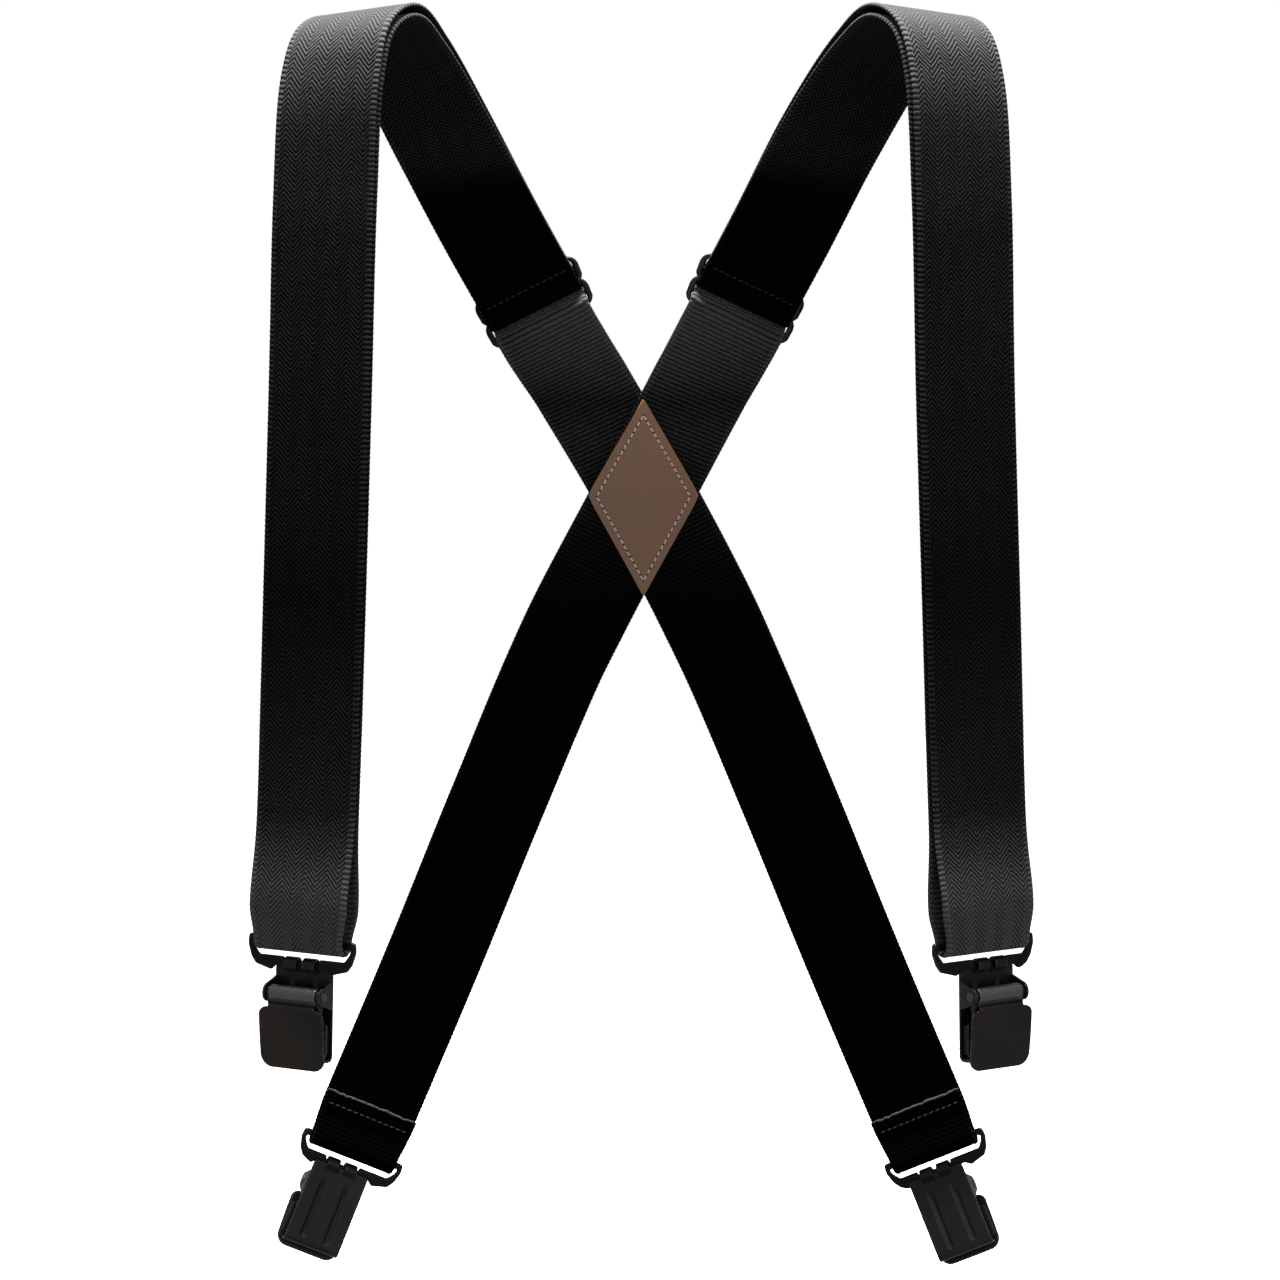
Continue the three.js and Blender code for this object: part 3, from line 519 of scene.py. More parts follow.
def guidedPath(guides, arcStep=math.radians(5)):
    # path pulled around round guides (s, h, r) in the plane of travel and height
    guides = np.array(guides, dtype=float)
    reach = np.diff(guides[:, :2], axis=0)
    slant = np.arcsin(np.diff(guides[:, 2]) / np.linalg.norm(reach, axis=1))
    headings = np.arctan2(reach[:, 1], reach[:, 0]) - slant
    corners = []
    for i, (s, h, r) in enumerate(guides):
        arriving = headings[max(i - 1, 0)]
        leaving = headings[min(i, len(headings) - 1)]
        turn = math.atan2(math.sin(leaving - arriving), math.cos(leaving - arriving))
        if r * turn < 0:
            turn += math.copysign(2 * math.pi, r)
        steps = 0 if r == 0 else math.ceil(abs(turn) / arcStep)
        heading = arriving + turn * np.arange(steps + 1) / max(steps, 1)
        corners.append(np.stack([s + r * np.sin(heading), h - r * np.cos(heading)], axis=1))
    return np.concatenate(corners)


def resampled(path, step, soften):
    # even spacing along the path, with its kinks softened over a short distance
    lengths = lengthsAlong(path)
    keep = np.concatenate([[True], np.diff(lengths) > 1e-9])
    lengths, path = lengths[keep], path[keep]
    count = max(2, int(round(lengths[-1] / step)) + 1)
    even = np.linspace(0, lengths[-1], count)
    points = np.stack([np.interp(even, lengths, path[:, k]) for k in range(2)], axis=1)
    return softened(points, soften, step, False), even


# section of the webbing: distance from the edge and half height, from the rim to the field
edgeProfile = np.array([
    [0.0, 0.0], [0.04, 0.3], [0.16, 0.52], [0.4, 0.72], [0.8, 0.84], [1.4, 0.86], [1.85, 0.8],
    [2.15, 0.66], [2.45, 0.76], [3.0, 0.8], [8.0, 0.8], [14.0, 0.8],
])


def webbingSection():
    half = webbing["width"] / 2
    left = edgeProfile
    right = edgeProfile[::-1] * [-1, 1] + [webbing["width"], 0]
    middle = np.array([[half, 0.8]])
    top = np.vstack([left, middle, right])
    bottom = top[-2:0:-1] * [1, -1]
    ring = np.vstack([top, bottom])
    return ring[:, 0] - half, ring[:, 1], ring[:, 0]


# painted light and shade: levels by height in millimetres that lighten the webbing where light
# falls and darken it where it is in shade
paintedShadingLevels = {
    "front": ((-335, 2.6), (-315, 2.9), (-295, 1.2), (-280, 0.5), (-206, 0.15), (-133, 0.22),
              (-79, 0.27), (-42, 0.62), (-17, 0.95), (0, 2.9), (12, 3)),
    "back": ((-430, 0.015), (-330, 0.02), (-240, 0.04), (-205, 0.08), (-185, 0.2), (-165, 0.4),
             (-143, 0.75), (-130, 0.5), (-115, 1.5), (-100, 2.6), (-80, 2.8)),
    "loop": ((-110, 0.03), (-40, 0.02), (-15, 0.06), (0, 0.4)),
    "hidden": 0.35,
}


# painted light and shade on the webbing by height: one table for the faces shown towards the
# front, one for those shown towards the back, and a fixed level for the rest
def paintedShadingAt(points, outward, loop):
    # how faded the webbing is at each height, on the faces that see daylight and on the others
    height = points[..., 2]
    front = np.interp(height, *np.transpose(paintedShadingLevels["front"]))
    back = np.interp(height, *np.transpose(paintedShadingLevels["loop" if loop else "back"]))
    shownFront = smoothStep(-0.4, 0.4, outward) * smoothStep(0, 12, 8 - points[..., 1])
    shownBack = smoothStep(-0.4, 0.4, -outward) * smoothStep(0, 12, points[..., 1] - 8)
    rest = np.clip(1 - shownFront - shownBack, 0, 1)
    return front * shownFront + back * shownBack + paintedShadingLevels["hidden"] * rest


def webbingPart(name, line, guides, lift, start):
    # the section carried along the path; its rim swells with each turn of the weft
    path, travel = resampled(guidedPath(guides), webbing["rowStep"], webbing["soften"])
    away = np.abs(path[:, 0] - line.crossing)
    share = 1 - smoothStep(webbing["crossingReach"], webbing["crossingBlend"], away)
    path[:, 1] += lift * share
    heading = unit(np.gradient(path, axis=0))
    centre, forward, side, normal = line.at(path[:, 0])
    middle = centre + normal * path[:, 1:]
    across = normal * heading[:, :1] - forward * heading[:, 1:]
    # the webbing is drawn together where it folds around a ring
    toEnd = np.minimum(path[:, 0], line.whole - path[:, 0])
    squeeze = 1 - webbing["squeeze"] / webbing["width"] * (
        1 - smoothStep(0, webbing["squeezeReach"], toEnd))
    x, t, u = webbingSection()
    along = start + travel
    swell = webbing["bead"] * (0.5 - 0.5 * np.cos(2 * np.pi * along / weave["ribPitch"]))
    fromEdge = np.minimum(u, webbing["width"] - u)
    rim = np.clip(1 - fromEdge / webbing["rimReach"], 0, 1)
    width = x[None, :] * squeeze[:, None]
    width = width + np.sign(x)[None, :] * rim[None, :] * (swell[:, None] - webbing["bead"] * 0.7)
    border = np.exp(-((fromEdge - webbing["borderAt"]) / webbing["borderReach"]) ** 2)
    thick = t[None, :] * (1 + webbing["borderRise"] * border[None, :] * (
        swell[:, None] / webbing["bead"] - 0.6))
    points = middle[:, None, :] + side[:, None, :] * width[..., None] \
        + across[:, None, :] * thick[..., None]
    rows, around = len(path), len(x)
    faces = [group[:, ::-1] for group in closedTube(rows, around)]
    values = {
        # painted light and shade level of each point
        "paintedShading": paintedShadingAt(points, np.sign(heading[:, :1]) * t[None, :],
                       name.endswith(("upper_run_inner", "end_loop", "front"))),
        "across": np.broadcast_to(u[None, :], (rows, around)),
        "along": np.broadcast_to(along[:, None], (rows, around)),
        "face": np.broadcast_to((t > 0).astype(float) + 0.5 * (t == 0), (rows, around)),
    }
    return makePiece(name, points, faces, "webbing", values, 60), along[-1]


def pointOn(line, s):
    return Vector(line.at(s)[0][0] * 0.001)


lines = {"right": MiddleLine(1), "left": MiddleLine(-1)}
lifts = {"right": webbing["crossingStep"], "left": -webbing["crossingStep"]}


def ringAxisHeight(atFront):
    return webbing["pitchFront"] / 2 if atFront else -webbing["hemPitch"] / 2


def webbingGuides(line):
    slideAt = line.crossing + slide["above"]
    shoulderBack = line.stationAt(webbing["shoulderBack"]) - 12
    shoulderFront = line.stationAt(webbing["shoulderFront"])
    runTop = line.crossing + webbing["crossingReach"]
    layer = 2 * stackPitch
    tilt = math.asin(layer / slide["pitch"])
    barStep = slide["pitch"] * math.cos(tilt)
    lowerHeight = slideFold - slide["pitch"] * math.sin(tilt)
    fromRing = np.linspace(webbing["loopLength"], 7, 16)
    swell = webbing["bulge"] * np.exp(
        -((fromRing - webbing["bulgeMiddle"]) / webbing["bulgeSpread"]) ** 2)
    outerLoop = [(line.whole - a, webbing["pitchFront"] + b, 0) for a, b in zip(fromRing, swell)]
    innerLoop = [(line.whole - a, -b, 0) for a, b in zip(fromRing, swell)][::-1]
    pitchShoulder = webbing["pitchShoulder"]
    return {
        "slideAt": slideAt, "tilt": tilt, "runTop": runTop, "shoulderBack": shoulderBack,
        "back": [(webbing["hemLength"], -webbing["hemPitch"], 0), (14, -webbing["hemPitch"], 0),
                 (0, ringAxisHeight(False), webbing["foldRadius"]), (14, 0, 0), (runTop, 0, 0)],
        "lower_run": [(runTop, 0, 0),
                      (slideAt - slide["reach"], lowerHeight - slideFold, 0)],
        "slide_bend": [(slideAt - slide["reach"], lowerHeight - slideFold, 0),
                       (slideAt - barStep, lowerHeight, slideFold),
                       (slideAt, slideFold, -(slideFold + stackPitch)),
                       (slideAt + barStep, layer + slideFold, slideFold),
                       (slideAt + slide["reach"], layer, 0)],
        "upper_run_outer": [(slideAt + slide["reach"], layer, 0),
                            (shoulderBack, pitchShoulder, 0)],
        "front": [(shoulderBack, pitchShoulder, 0), (shoulderFront - 30, pitchShoulder, 0),
                  (shoulderFront + 40, webbing["pitchFront"], 0), *outerLoop,
                  (line.whole, ringAxisHeight(True), -webbing["foldRadius"]), *innerLoop,
                  (shoulderBack, 0, 0)],
        "upper_run_inner": [(shoulderBack, 0, 0), (slideAt + slide["reach"], 0, 0)],
        "end_loop": [(slideAt + slide["reach"], 0, 0), (slideAt, slideFold, -slideFold),
                     (slideAt + 0.55 * slide["endLoop"], stackPitch, 0),
                     (slideAt + slide["endLoop"], stackPitch, 0)],
    }


guides = {}
for sideName, line in lines.items():
    guide = webbingGuides(line)
    guides[sideName] = guide
    start = 0.0
    adjuster = "adjuster_" + sideName
    for part in ("back", "lower_run", "slide_bend", "upper_run_outer", "front",
                 "upper_run_inner", "end_loop"):
        node = "webbing_" + sideName + "_" + part
        piece, start = webbingPart("visual_" + node, line, guide[part], lifts[sideName], start)
        if part == "lower_run":
            pointOn(line, guide["runTop"])
            pointOn(line, guide["slideAt"] - slide["reach"])
            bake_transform(piece)
        elif part.startswith("upper_run"):
            pointOn(line, guide["slideAt"] + slide["reach"])
            pointOn(line, guide["shoulderBack"])
            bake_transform(piece)
        elif part in ("slide_bend", "end_loop"):
            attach(piece, adjuster)
        else:
            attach(piece, "webbing")
        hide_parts(node)
print("webbing is made")


def capsules(centres, directions, normals, length, width, height):
    # short rounded bars: rings of eight points along each, drawn in at the ends
    shares = np.array([-1, -0.8, -0.35, 0.35, 0.8, 1.0])
    sizes = np.array([0.25, 0.72, 1.0, 1.0, 0.72, 0.25])
    angle = np.linspace(0, 2 * np.pi, 9)[:-1]
    sideways = np.cross(normals, directions)
    around = len(angle)
    ring = sideways[:, None, None, :] * (np.cos(angle) * width / 2)[None, None, :, None] \
        + normals[:, None, None, :] * (np.sin(angle) * height / 2)[None, None, :, None]
    body = centres[:, None, None, :] + ring * sizes[None, :, None, None] \
        + directions[:, None, None, :] * (shares * length / 2)[None, :, None, None]
    # each bar also dips at both ends
    body = body - normals[:, None, None, :] * (0.35 * height * shares ** 4)[None, :, None, None]
    one = closedTube(len(shares), around)
    count = len(centres)
    offsets = (np.arange(count) * len(shares) * around)[:, None, None]
    faces = [(group[None] + offsets).reshape(-1, group.shape[-1]) for group in one]
    return body.reshape(-1, 3), faces


patch = {"thickness": 1.6, "lift": 0.3, "round": 0.5, "groove": 0.16, "grooveReach": 0.55,
         "wave": 0.12, "stitchInset": 3.1, "stitchPitch": 2.75, "stitchLean": 0.16,
         "stitchSize": (2.1, 0.75, 0.62), "stitchSunk": 0.02, "holeSize": (0.8, 0.75, 0.3),
         "holeSunk": 0.2}
crossingLine = lines["right"]
crossingForward = crossingLine.at(crossingLine.crossing)[1][0]
crossingSteep = math.hypot(crossingForward[1], crossingForward[2])


def patchSurface(across, down, height):
    # the crossing's curved face: both webbings fall along the same line there
    centre, ahead, _, _ = crossingLine.at(crossingLine.crossing + np.ravel(down) / crossingSteep)
    slope = unit(ahead * [0, 1, 1])
    normal = np.cross(slope, np.broadcast_to([1.0, 0, 0], slope.shape))
    points = centre * [0, 1, 1] + normal * np.ravel(height)[:, None]
    points[:, 0] = np.ravel(across)
    return points, slope, normal


def barsOnPatch(name, spots, headings, height, outward, size, material):
    # small rounded bars that lie along their headings on one face of the patch
    centres, slopes, normals = patchSurface(spots[:, 0], spots[:, 1], np.full(len(spots), height))
    directions = slopes * headings[:, 1:]
    directions[:, 0] = headings[:, 0]
    bars = capsules(centres, unit(directions), normals * outward, *size)
    piece = makePiece(name, *bars, material)
    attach(piece, "webbing")


def leatherPatch(node, outward):
    halfAcross = webbing["width"] / 2 / crossingSteep
    halfDown = webbing["width"] / 2 / abs(crossingForward[0])
    inradius = halfAcross * halfDown / math.hypot(halfAcross, halfDown)
    # rows close in on the rim; inset is the distance from the nearest side in millimetres
    rim = np.array([0, 0.02, 0.07, 0.15, 0.27, 0.42, 0.62, 0.9, 1.4, 2.1, 2.9, 3.35, 3.7, 4.0,
                    4.3, 4.65, 5.1, 6.2])
    inner = np.linspace(7.5, 2 * inradius - 7.5, 24)
    share = np.concatenate([rim, inner, 2 * inradius - rim[::-1]]) / inradius - 1
    a, b = np.meshgrid(share, share, indexing="ij")
    nearest = np.maximum(inradius * (1 - np.maximum(np.abs(a), np.abs(b))), 0)
    # the four tips are softened a little
    tip = 1 - 0.018 * smoothStep(0.9, 1.0, np.abs(a + b) / 2) \
        - 0.01 * smoothStep(0.95, 1.0, np.abs(a - b) / 2)
    across = (a + b) / 2 * halfAcross * tip
    down = (a - b) / 2 * halfDown * tip
    onRim = nearest <= 0
    drop = np.clip(nearest / patch["round"], 0, 1)
    rise = patch["thickness"] / 2 \
        - patch["round"] * (1 - np.sqrt(np.clip(1 - (1 - drop) ** 2, 0, 1)))
    rise = np.where(onRim, 0, rise)
    groove = patch["groove"] * np.exp(
        -((nearest - patch["stitchInset"]) / patch["grooveReach"]) ** 2)
    base = outward * (webbing["crossingStep"] + webbing["thickness"] / 2 + webbing["gap"]
                      + patch["thickness"] / 2 + patch["lift"])
    wave = patch["wave"] * np.sin(down / 9 + 1) * np.cos(across / 7)
    points = patchSurface(across, down, base + outward * (rise - groove + wave * ~onRim))[0]
    back = base - outward * rise
    lower = patchSurface(across[~onRim], down[~onRim], back[~onRim])[0]
    # both faces share the points of the rim
    grid = np.arange(onRim.size).reshape(onRim.shape)
    under = np.where(onRim, grid, onRim.size + np.cumsum(~onRim).reshape(onRim.shape) - 1)
    faces = []
    for index, flip in ((grid, outward > 0), (under, outward < 0)):
        group = np.stack([index[:-1, :-1], index[1:, :-1], index[1:, 1:], index[:-1, 1:]], -1)
        faces.append(group.reshape(-1, 4)[:, ::-1 if flip else 1])
    raw = np.concatenate([1 - smoothStep(0.12, 0.5, nearest).ravel(), np.ones(len(lower))])
    name = "visual_" + node
    piece = makePiece(name, np.vstack([points, lower]), faces, "leather", {"rawEdge": raw}, 55)
    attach(piece, "webbing")
    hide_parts(node)
    # stitches along the inset diamond, and between them dark bars painted as the shade inside the
    # needle holes
    scale = 1 - patch["stitchInset"] / inradius
    corners = np.array([[0, 1], [1, 0], [0, -1], [-1, 0]]) * [halfAcross * scale,
                                                              halfDown * scale]
    spots, headings = [], []
    for here, there in zip(corners, np.roll(corners, -1, axis=0)):
        count = int(round(np.linalg.norm(there - here) / patch["stitchPitch"]))
        shares = (np.arange(count) + 0.5) / count
        spots.append(here + (there - here) * shares[:, None])
        headings.append(np.repeat(unit(there - here)[None, :], count, axis=0))
    spots, headings = np.concatenate(spots), np.concatenate(headings)
    turned = headings + patch["stitchLean"] * headings[:, ::-1] * [-1, 1]
    between = spots + headings * patch["stitchPitch"] / 2
    half = patch["thickness"] / 2
    barsOnPatch(name + "_stitches", spots, turned, base + outward * (half - patch["stitchSunk"]),
                outward, patch["stitchSize"], "tanThread")
    barsOnPatch(name + "_needle_holes", between, headings,
                base + outward * (half - patch["holeSunk"]), outward, patch["holeSize"],
                "needleHole")


leatherPatch("patch_inner", -1)
leatherPatch("patch_outer", 1)
print("patches are made")


clip = {
    "bodyWidth": 22.8, "sheet": 0.9, "bodyLength": 32.6, "fingerWidth": 5, "fingerGap": 2.2,
    "pivotDrop": 9.8, "pivotOut": 4.4, "pinRadius": 1, "earRadius": 3.3, "barrelRadius": 2.9,
    "leverWidth": 25.6, "leverLength": 26.4, "leverTop": 4.6, "leverFace": 3.3, "leverSlant": 6,
    "jawWidth": 24.4, "jawShoulder": 9.4, "ribSpacing": 9.7, "ribWidth": 2.8, "ribHeight": 0.8,
    "ribTop": -5.6, "ribFoot": -30.2, "lipDepth": 4.2, "padLength": 10, "padWidth": 20,
    "lipBend": 1.5, "fingerTurn": 228, "leverTopBow": 3.0, "leverFootBow": 4.6, "leafOut": 0.6,
    "pinHead": 1.75, "pinSpare": 0.9,
}
ring = {"width": 42.4, "thickness": 2, "pitch": 8.3, "bar": 2.6, "armLow": 3.2, "hinge": 2,
        "shelf": 2.4}
wearReach = 0.35
frontTilts = {"ring": 1, "body": 2}
backTilts = {"ring": 2, "body": 3}


def turnX(degrees):
    c, s = math.cos(math.radians(degrees)), math.sin(math.radians(degrees))
    return np.array([[1, 0, 0], [0, c, -s], [0, s, c]])


class Place:
    # origin in millimetres and a turn, columns x, y, z
    def __init__(self, origin, turn):
        self.origin = np.asarray(origin, dtype=float)
        self.turn = turn

    def moved(self, x, y, z, degrees=0.0):
        return Place(self.origin + self.turn @ [x, y, z], self.turn @ turnX(degrees))

    def of(self, points):
        return np.asarray(points).reshape(-1, 3) @ self.turn.T + self.origin


def seated(line, s, h, alongTravel):
    centre, forward, _, normal = (value[0] for value in line.at(s))
    z, y = forward * alongTravel, -normal
    return Place(centre + normal * h, np.stack([np.cross(y, z), y, z], axis=1))


def sheetAlong(path, halfWidths, thickness, roundness, field, emboss=None):
    # rounded rectangular section carried along a path of (y, z); x runs across.
    # The two ends are drawn in by the same rounding. Emboss lifts both faces.
    lengths = lengthsAlong(path)
    whole = lengths[-1]
    near = roundness * (1 - np.cos(np.linspace(0, np.pi / 2, 5)))
    spots = np.unique(np.round(np.concatenate([lengths, near, whole - near]), 5))
    halfWidths = np.interp(spots, lengths, halfWidths)
    path = np.stack([np.interp(spots, lengths, path[:, k]) for k in range(2)], axis=1)
    lengths = spots
    heading = unit(np.gradient(path, lengths, axis=0))
    across = np.stack([-heading[:, 1], heading[:, 0]], axis=1)
    fromEnd = np.minimum(lengths, whole - lengths)
    close = np.clip(1 - fromEnd / roundness, 0, 1)
    shrink = roundness * (1 - np.sqrt(1 - close ** 2))
    corner = list(zip(*roundedCorner(roundness, thickness)))
    share = np.linspace(-1, 1, field + 1)[1:-1]
    rows = len(path)
    top = []
    inner = halfWidths - shrink
    for dx, rise in corner:
        top.append((-(inner - dx), np.full(rows, rise)))
    for part in share:
        top.append((part * (inner - roundness), np.full(rows, thickness / 2)))
    for dx, rise in corner[::-1]:
        top.append((inner - dx, np.full(rows, rise)))
    x = np.stack([value for value, _ in top], axis=1)
    t = np.stack([value for _, value in top], axis=1)
    t = np.maximum(t - shrink[:, None], 0.02)
    x = np.concatenate([x, x[:, ::-1]], axis=1)
    t = np.concatenate([t, -t[:, ::-1]], axis=1)
    if emboss is not None:
        t = t + emboss(x, np.broadcast_to(path[:, 1:], x.shape))
    points = np.stack([x, path[:, :1] + across[:, :1] * t, path[:, 1:] + across[:, 1:] * t], -1)
    around = x.shape[1]
    nearEdge = np.minimum(inner[:, None] - np.abs(x), np.broadcast_to(fromEnd[:, None], x.shape))
    worn = np.exp(-np.maximum(nearEdge, 0) / wearReach)
    return points, closedTube(rows, around), {"wear": worn}


def arc(centreY, centreZ, radius, fromDegrees, toDegrees, steps):
    angle = np.radians(np.linspace(fromDegrees, toDegrees, steps))
    return np.stack([centreY + radius * np.cos(angle), centreZ + radius * np.sin(angle)], axis=1)


def straight(start, end, steps):
    share = np.linspace(0, 1, steps)[:, None]
    return np.asarray(start) * (1 - share) + np.asarray(end) * share


def joinedPath(*pieces):
    path = np.concatenate([np.atleast_2d(piece) for piece in pieces])
    keep = np.concatenate([[True], np.linalg.norm(np.diff(path, axis=0), axis=1) > 1e-4])
    return path[keep]


def frameLoop(outer, inner, thickness, step, soften, roundness):
    # flat closed loop between two matched outlines in the XZ plane, all rims rounded
    outlines = [np.asarray(outline, dtype=float) for outline in (outer, inner)]
    following = [np.roll(outline, -1, axis=0) for outline in outlines]
    longest = np.max([np.linalg.norm(b - a, axis=1) for a, b in zip(outlines, following)], axis=0)
    pieces = np.maximum(2, np.ceil(longest / step).astype(int))
    outer, inner = (
        softened(np.concatenate([straight(a, b, count + 1)[:-1]
                                 for a, b, count in zip(corners, after, pieces)]),
                 soften, step, True)
        for corners, after in zip(outlines, following))
    span = np.linalg.norm(outer - inner, axis=1, keepdims=True)
    near, rise = roundedCorner(roundness, thickness)
    share = np.concatenate([near / span, 0.5 + 0 * span, 1 - near[::-1] / span], axis=1)
    height = np.concatenate([rise, [thickness / 2], rise[::-1]])
    share = np.concatenate([share, share[:, ::-1]], axis=1)
    height = np.concatenate([height, -height[::-1]])
    flat = outer[:, None, :] + (inner - outer)[:, None, :] * share[..., None]
    points = np.stack([flat[..., 0], np.broadcast_to(height, flat.shape[:2]), flat[..., 1]], -1)
    worn = np.exp(-np.minimum(share, 1 - share) * span / wearReach)
    worn = worn * (np.abs(height) > thickness / 2 - roundness - 0.05)
    rows, around = flat.shape[:2]
    return points, [tubeFaces(rows, around, True)], {"wear": worn}


def closedLoop(half, otherHalf):
    # halves run clockwise from the top middle to the bottom middle, x not below 0
    half, otherHalf = np.asarray(half, dtype=float), np.asarray(otherHalf, dtype=float)
    return np.vstack([half, otherHalf[1:-1][::-1] * [-1, 1]])


def roundedHalf(width, middle, reach, corner):
    # half outline of a rounded oblong, clockwise from the top middle
    turns = np.linspace(np.pi / 2, -np.pi / 2, 9)
    return [(0, middle + reach)] + [
        (width - corner + corner * math.cos(a),
         middle + math.copysign(reach - corner, math.sin(a) + 1e-9) + corner * math.sin(a))
        for a in turns] + [(0, middle - reach)]


def roundPlate(outline, thickness, roundness):
    # plate with a convex outline of (y, z), rims rounded, closed by fans at the middle
    middle = outline.mean(axis=0)
    away = outline - middle
    size = np.linalg.norm(away, axis=1, keepdims=True)
    near, rise = roundedCorner(roundness, thickness)
    levels = [(0.5 * size, thickness / 2)]
    levels += [(distance + 0 * size, value) for distance, value in zip(near[::-1], rise[::-1])]
    levels += [(inset, -value) for inset, value in levels[::-1]]
    rows = []
    for inset, value in levels:
        flat = middle + away * (size - inset) / size
        rows.append(np.stack([np.full(len(flat), value), flat[:, 0], flat[:, 1]], axis=1))
    points = np.stack(rows)
    count, around = points.shape[:2]
    caps = np.array([[thickness / 2, *middle], [-thickness / 2, *middle]])
    step = np.arange(around)
    following = (step + 1) % around
    top = np.stack([np.full(around, count * around), following, step], axis=1)
    base = (count - 1) * around
    bottom = np.stack([np.full(around, count * around + 1), base + step, base + following], 1)
    worn = np.concatenate([np.repeat([np.exp(-float(np.min(inset)) / wearReach)
                                      for inset, _ in levels], around), [0, 0]])
    faces = [tubeFaces(count, around), top, bottom]
    return np.vstack([points.reshape(-1, 3), caps]), faces, {"wear": worn}


def pinShape(radius, length, head):
    # turned pin along x with domed heads
    end = -length / 2
    profile = [(end, 0.02), (end, head * 0.6), (end + 0.14, head * 0.92), (end + 0.34, head),
               (end + 0.5, head), (end + 0.52, radius)]
    profile = np.array(profile + [(-x, r) for x, r in profile[::-1]])
    rows, around = len(profile), 32
    angle = np.linspace(0, 2 * np.pi, around + 1)[:-1]
    points = np.stack([np.broadcast_to(profile[:, :1], (rows, around)),
                       profile[:, 1:] * np.cos(angle), profile[:, 1:] * np.sin(angle)], -1)
    return points, closedTube(rows, around)


def prismAlong(profile, fromX, toX, roundness=0.15):
    # closed profile of (y, z) along x, its two ends drawn in a little
    profile = np.asarray(profile, dtype=float)
    middle = profile.mean(axis=0)
    near = roundness * (1 - np.cos(np.linspace(0, np.pi / 2, 4)))
    xs = np.concatenate([fromX + near, toX - near[::-1]])
    inset = roundness - np.sqrt(roundness ** 2 - (roundness - near) ** 2)
    inset = np.concatenate([inset, inset[::-1]])
    size = np.linalg.norm(profile - middle, axis=1).max()
    flat = middle + (profile - middle) * (1 - inset / size)[:, None, None]
    x = np.broadcast_to(xs[:, None, None], (*flat.shape[:2], 1))
    return np.concatenate([x, flat], axis=2), closedTube(*flat.shape[:2])


def ringShape(slip):
    # the notch in the lower bar follows the clip, which has slipped along it
    half, pitch, bar = ring["width"] / 2, ring["pitch"], ring["bar"]
    low, shelf = ring["armLow"], ring["shelf"]
    slot = webbing["width"] / 2 + 0.4
    fingers = clip["fingerGap"] / 2 + clip["fingerWidth"] + 0.7

    def outerHalf(slipped):
        notch = clip["bodyWidth"] / 2 + 0.4 + max(slipped, 0)
        return [
            (0, pitch + bar / 2), (half - 1.2, pitch + bar / 2),
            (half - 0.25, pitch + bar / 2 - 0.5), (half, pitch - 1), (half, pitch - 2.6),
            (half - 1.3, 1.6), (half - 3.1, -0.9), (notch + 1.6, -2.2), (notch + 0.3, -2.6),
            (notch, -ring["hinge"] / 2), (0, -ring["hinge"] / 2),
        ]

    def innerHalf(slipped):
        notch = fingers + slipped
        return [
            (0, pitch - bar / 2), (slot - 0.7, pitch - bar / 2),
            (slot - 0.1, pitch - bar / 2 - 0.2), (slot, pitch - bar / 2 - 0.8),
            (slot - 0.5, pitch - 3.4), (half - 0.6 - low, shelf + 0.5),
            (half - 1.3 - low, shelf), (12, shelf), (notch + 0.4, shelf),
            (notch, ring["hinge"] / 2), (0, ring["hinge"] / 2),
        ]

    outer = closedLoop(outerHalf(slip), outerHalf(-slip))
    inner = closedLoop(innerHalf(slip), innerHalf(-slip))
    return frameLoop(outer, inner, ring["thickness"], 0.3, 0.6, 0.55)


def slideShape():
    # two loops side by side, one on each side of the middle bar
    half = webbing["width"] / 2 + slide["lobe"]
    slot = webbing["width"] / 2 + 0.1
    reach = slide["pitch"] / 2 + slide["bar"] / 2
    inside = slide["pitch"] / 2 - slide["bar"] / 2
    parts = []
    for k, hand in enumerate((-1, 1)):
        middle = hand * slide["pitch"] / 2
        outer = roundedHalf(half, middle, reach, slide["corner"])
        inner = roundedHalf(slot, middle, inside, slide["slotCorner"])
        parts.append(frameLoop(closedLoop(outer, outer), closedLoop(inner, inner),
                               slide["thickness"] - 0.03 * k, 0.35, 0.5, 0.6))
    return mergeParts(parts)


def tabOutline(backY, radius, steps=14):
    # tab from the plate to a round end about the pivot
    angle = np.radians(np.linspace(90, 270, steps))
    roundEnd = np.stack([-clip["pivotOut"] + radius * np.cos(angle),
                         -clip["pivotDrop"] + radius * np.sin(angle)], axis=1)
    foot = [(backY, -clip["pivotDrop"] - radius - 2.2), (backY, -clip["pivotDrop"] + radius + 1.6)]
    return np.vstack([foot, roundEnd])


fingerInner = math.hypot(ring["hinge"], ring["thickness"]) / 2 + 0.3
plateMiddle = fingerInner + clip["sheet"] / 2


def ribLift(x, z):
    # two long ribs pressed out of the plate, tapering at both ends
    lift = 0 * x
    for hand in (-1, 1):
        off = np.abs(x - hand * clip["ribSpacing"] / 2) / (clip["ribWidth"] / 2)
        wide = np.clip(1 - off ** 2, 0, 1) ** 1.3
        ends = smoothStep(clip["ribFoot"] - 0.2, clip["ribFoot"] + 1.3, z) \
            * (1 - smoothStep(clip["ribTop"] - 4.5, clip["ribTop"] + 0.3, z))
        lift = lift + clip["ribHeight"] * wide * ends
    return -lift


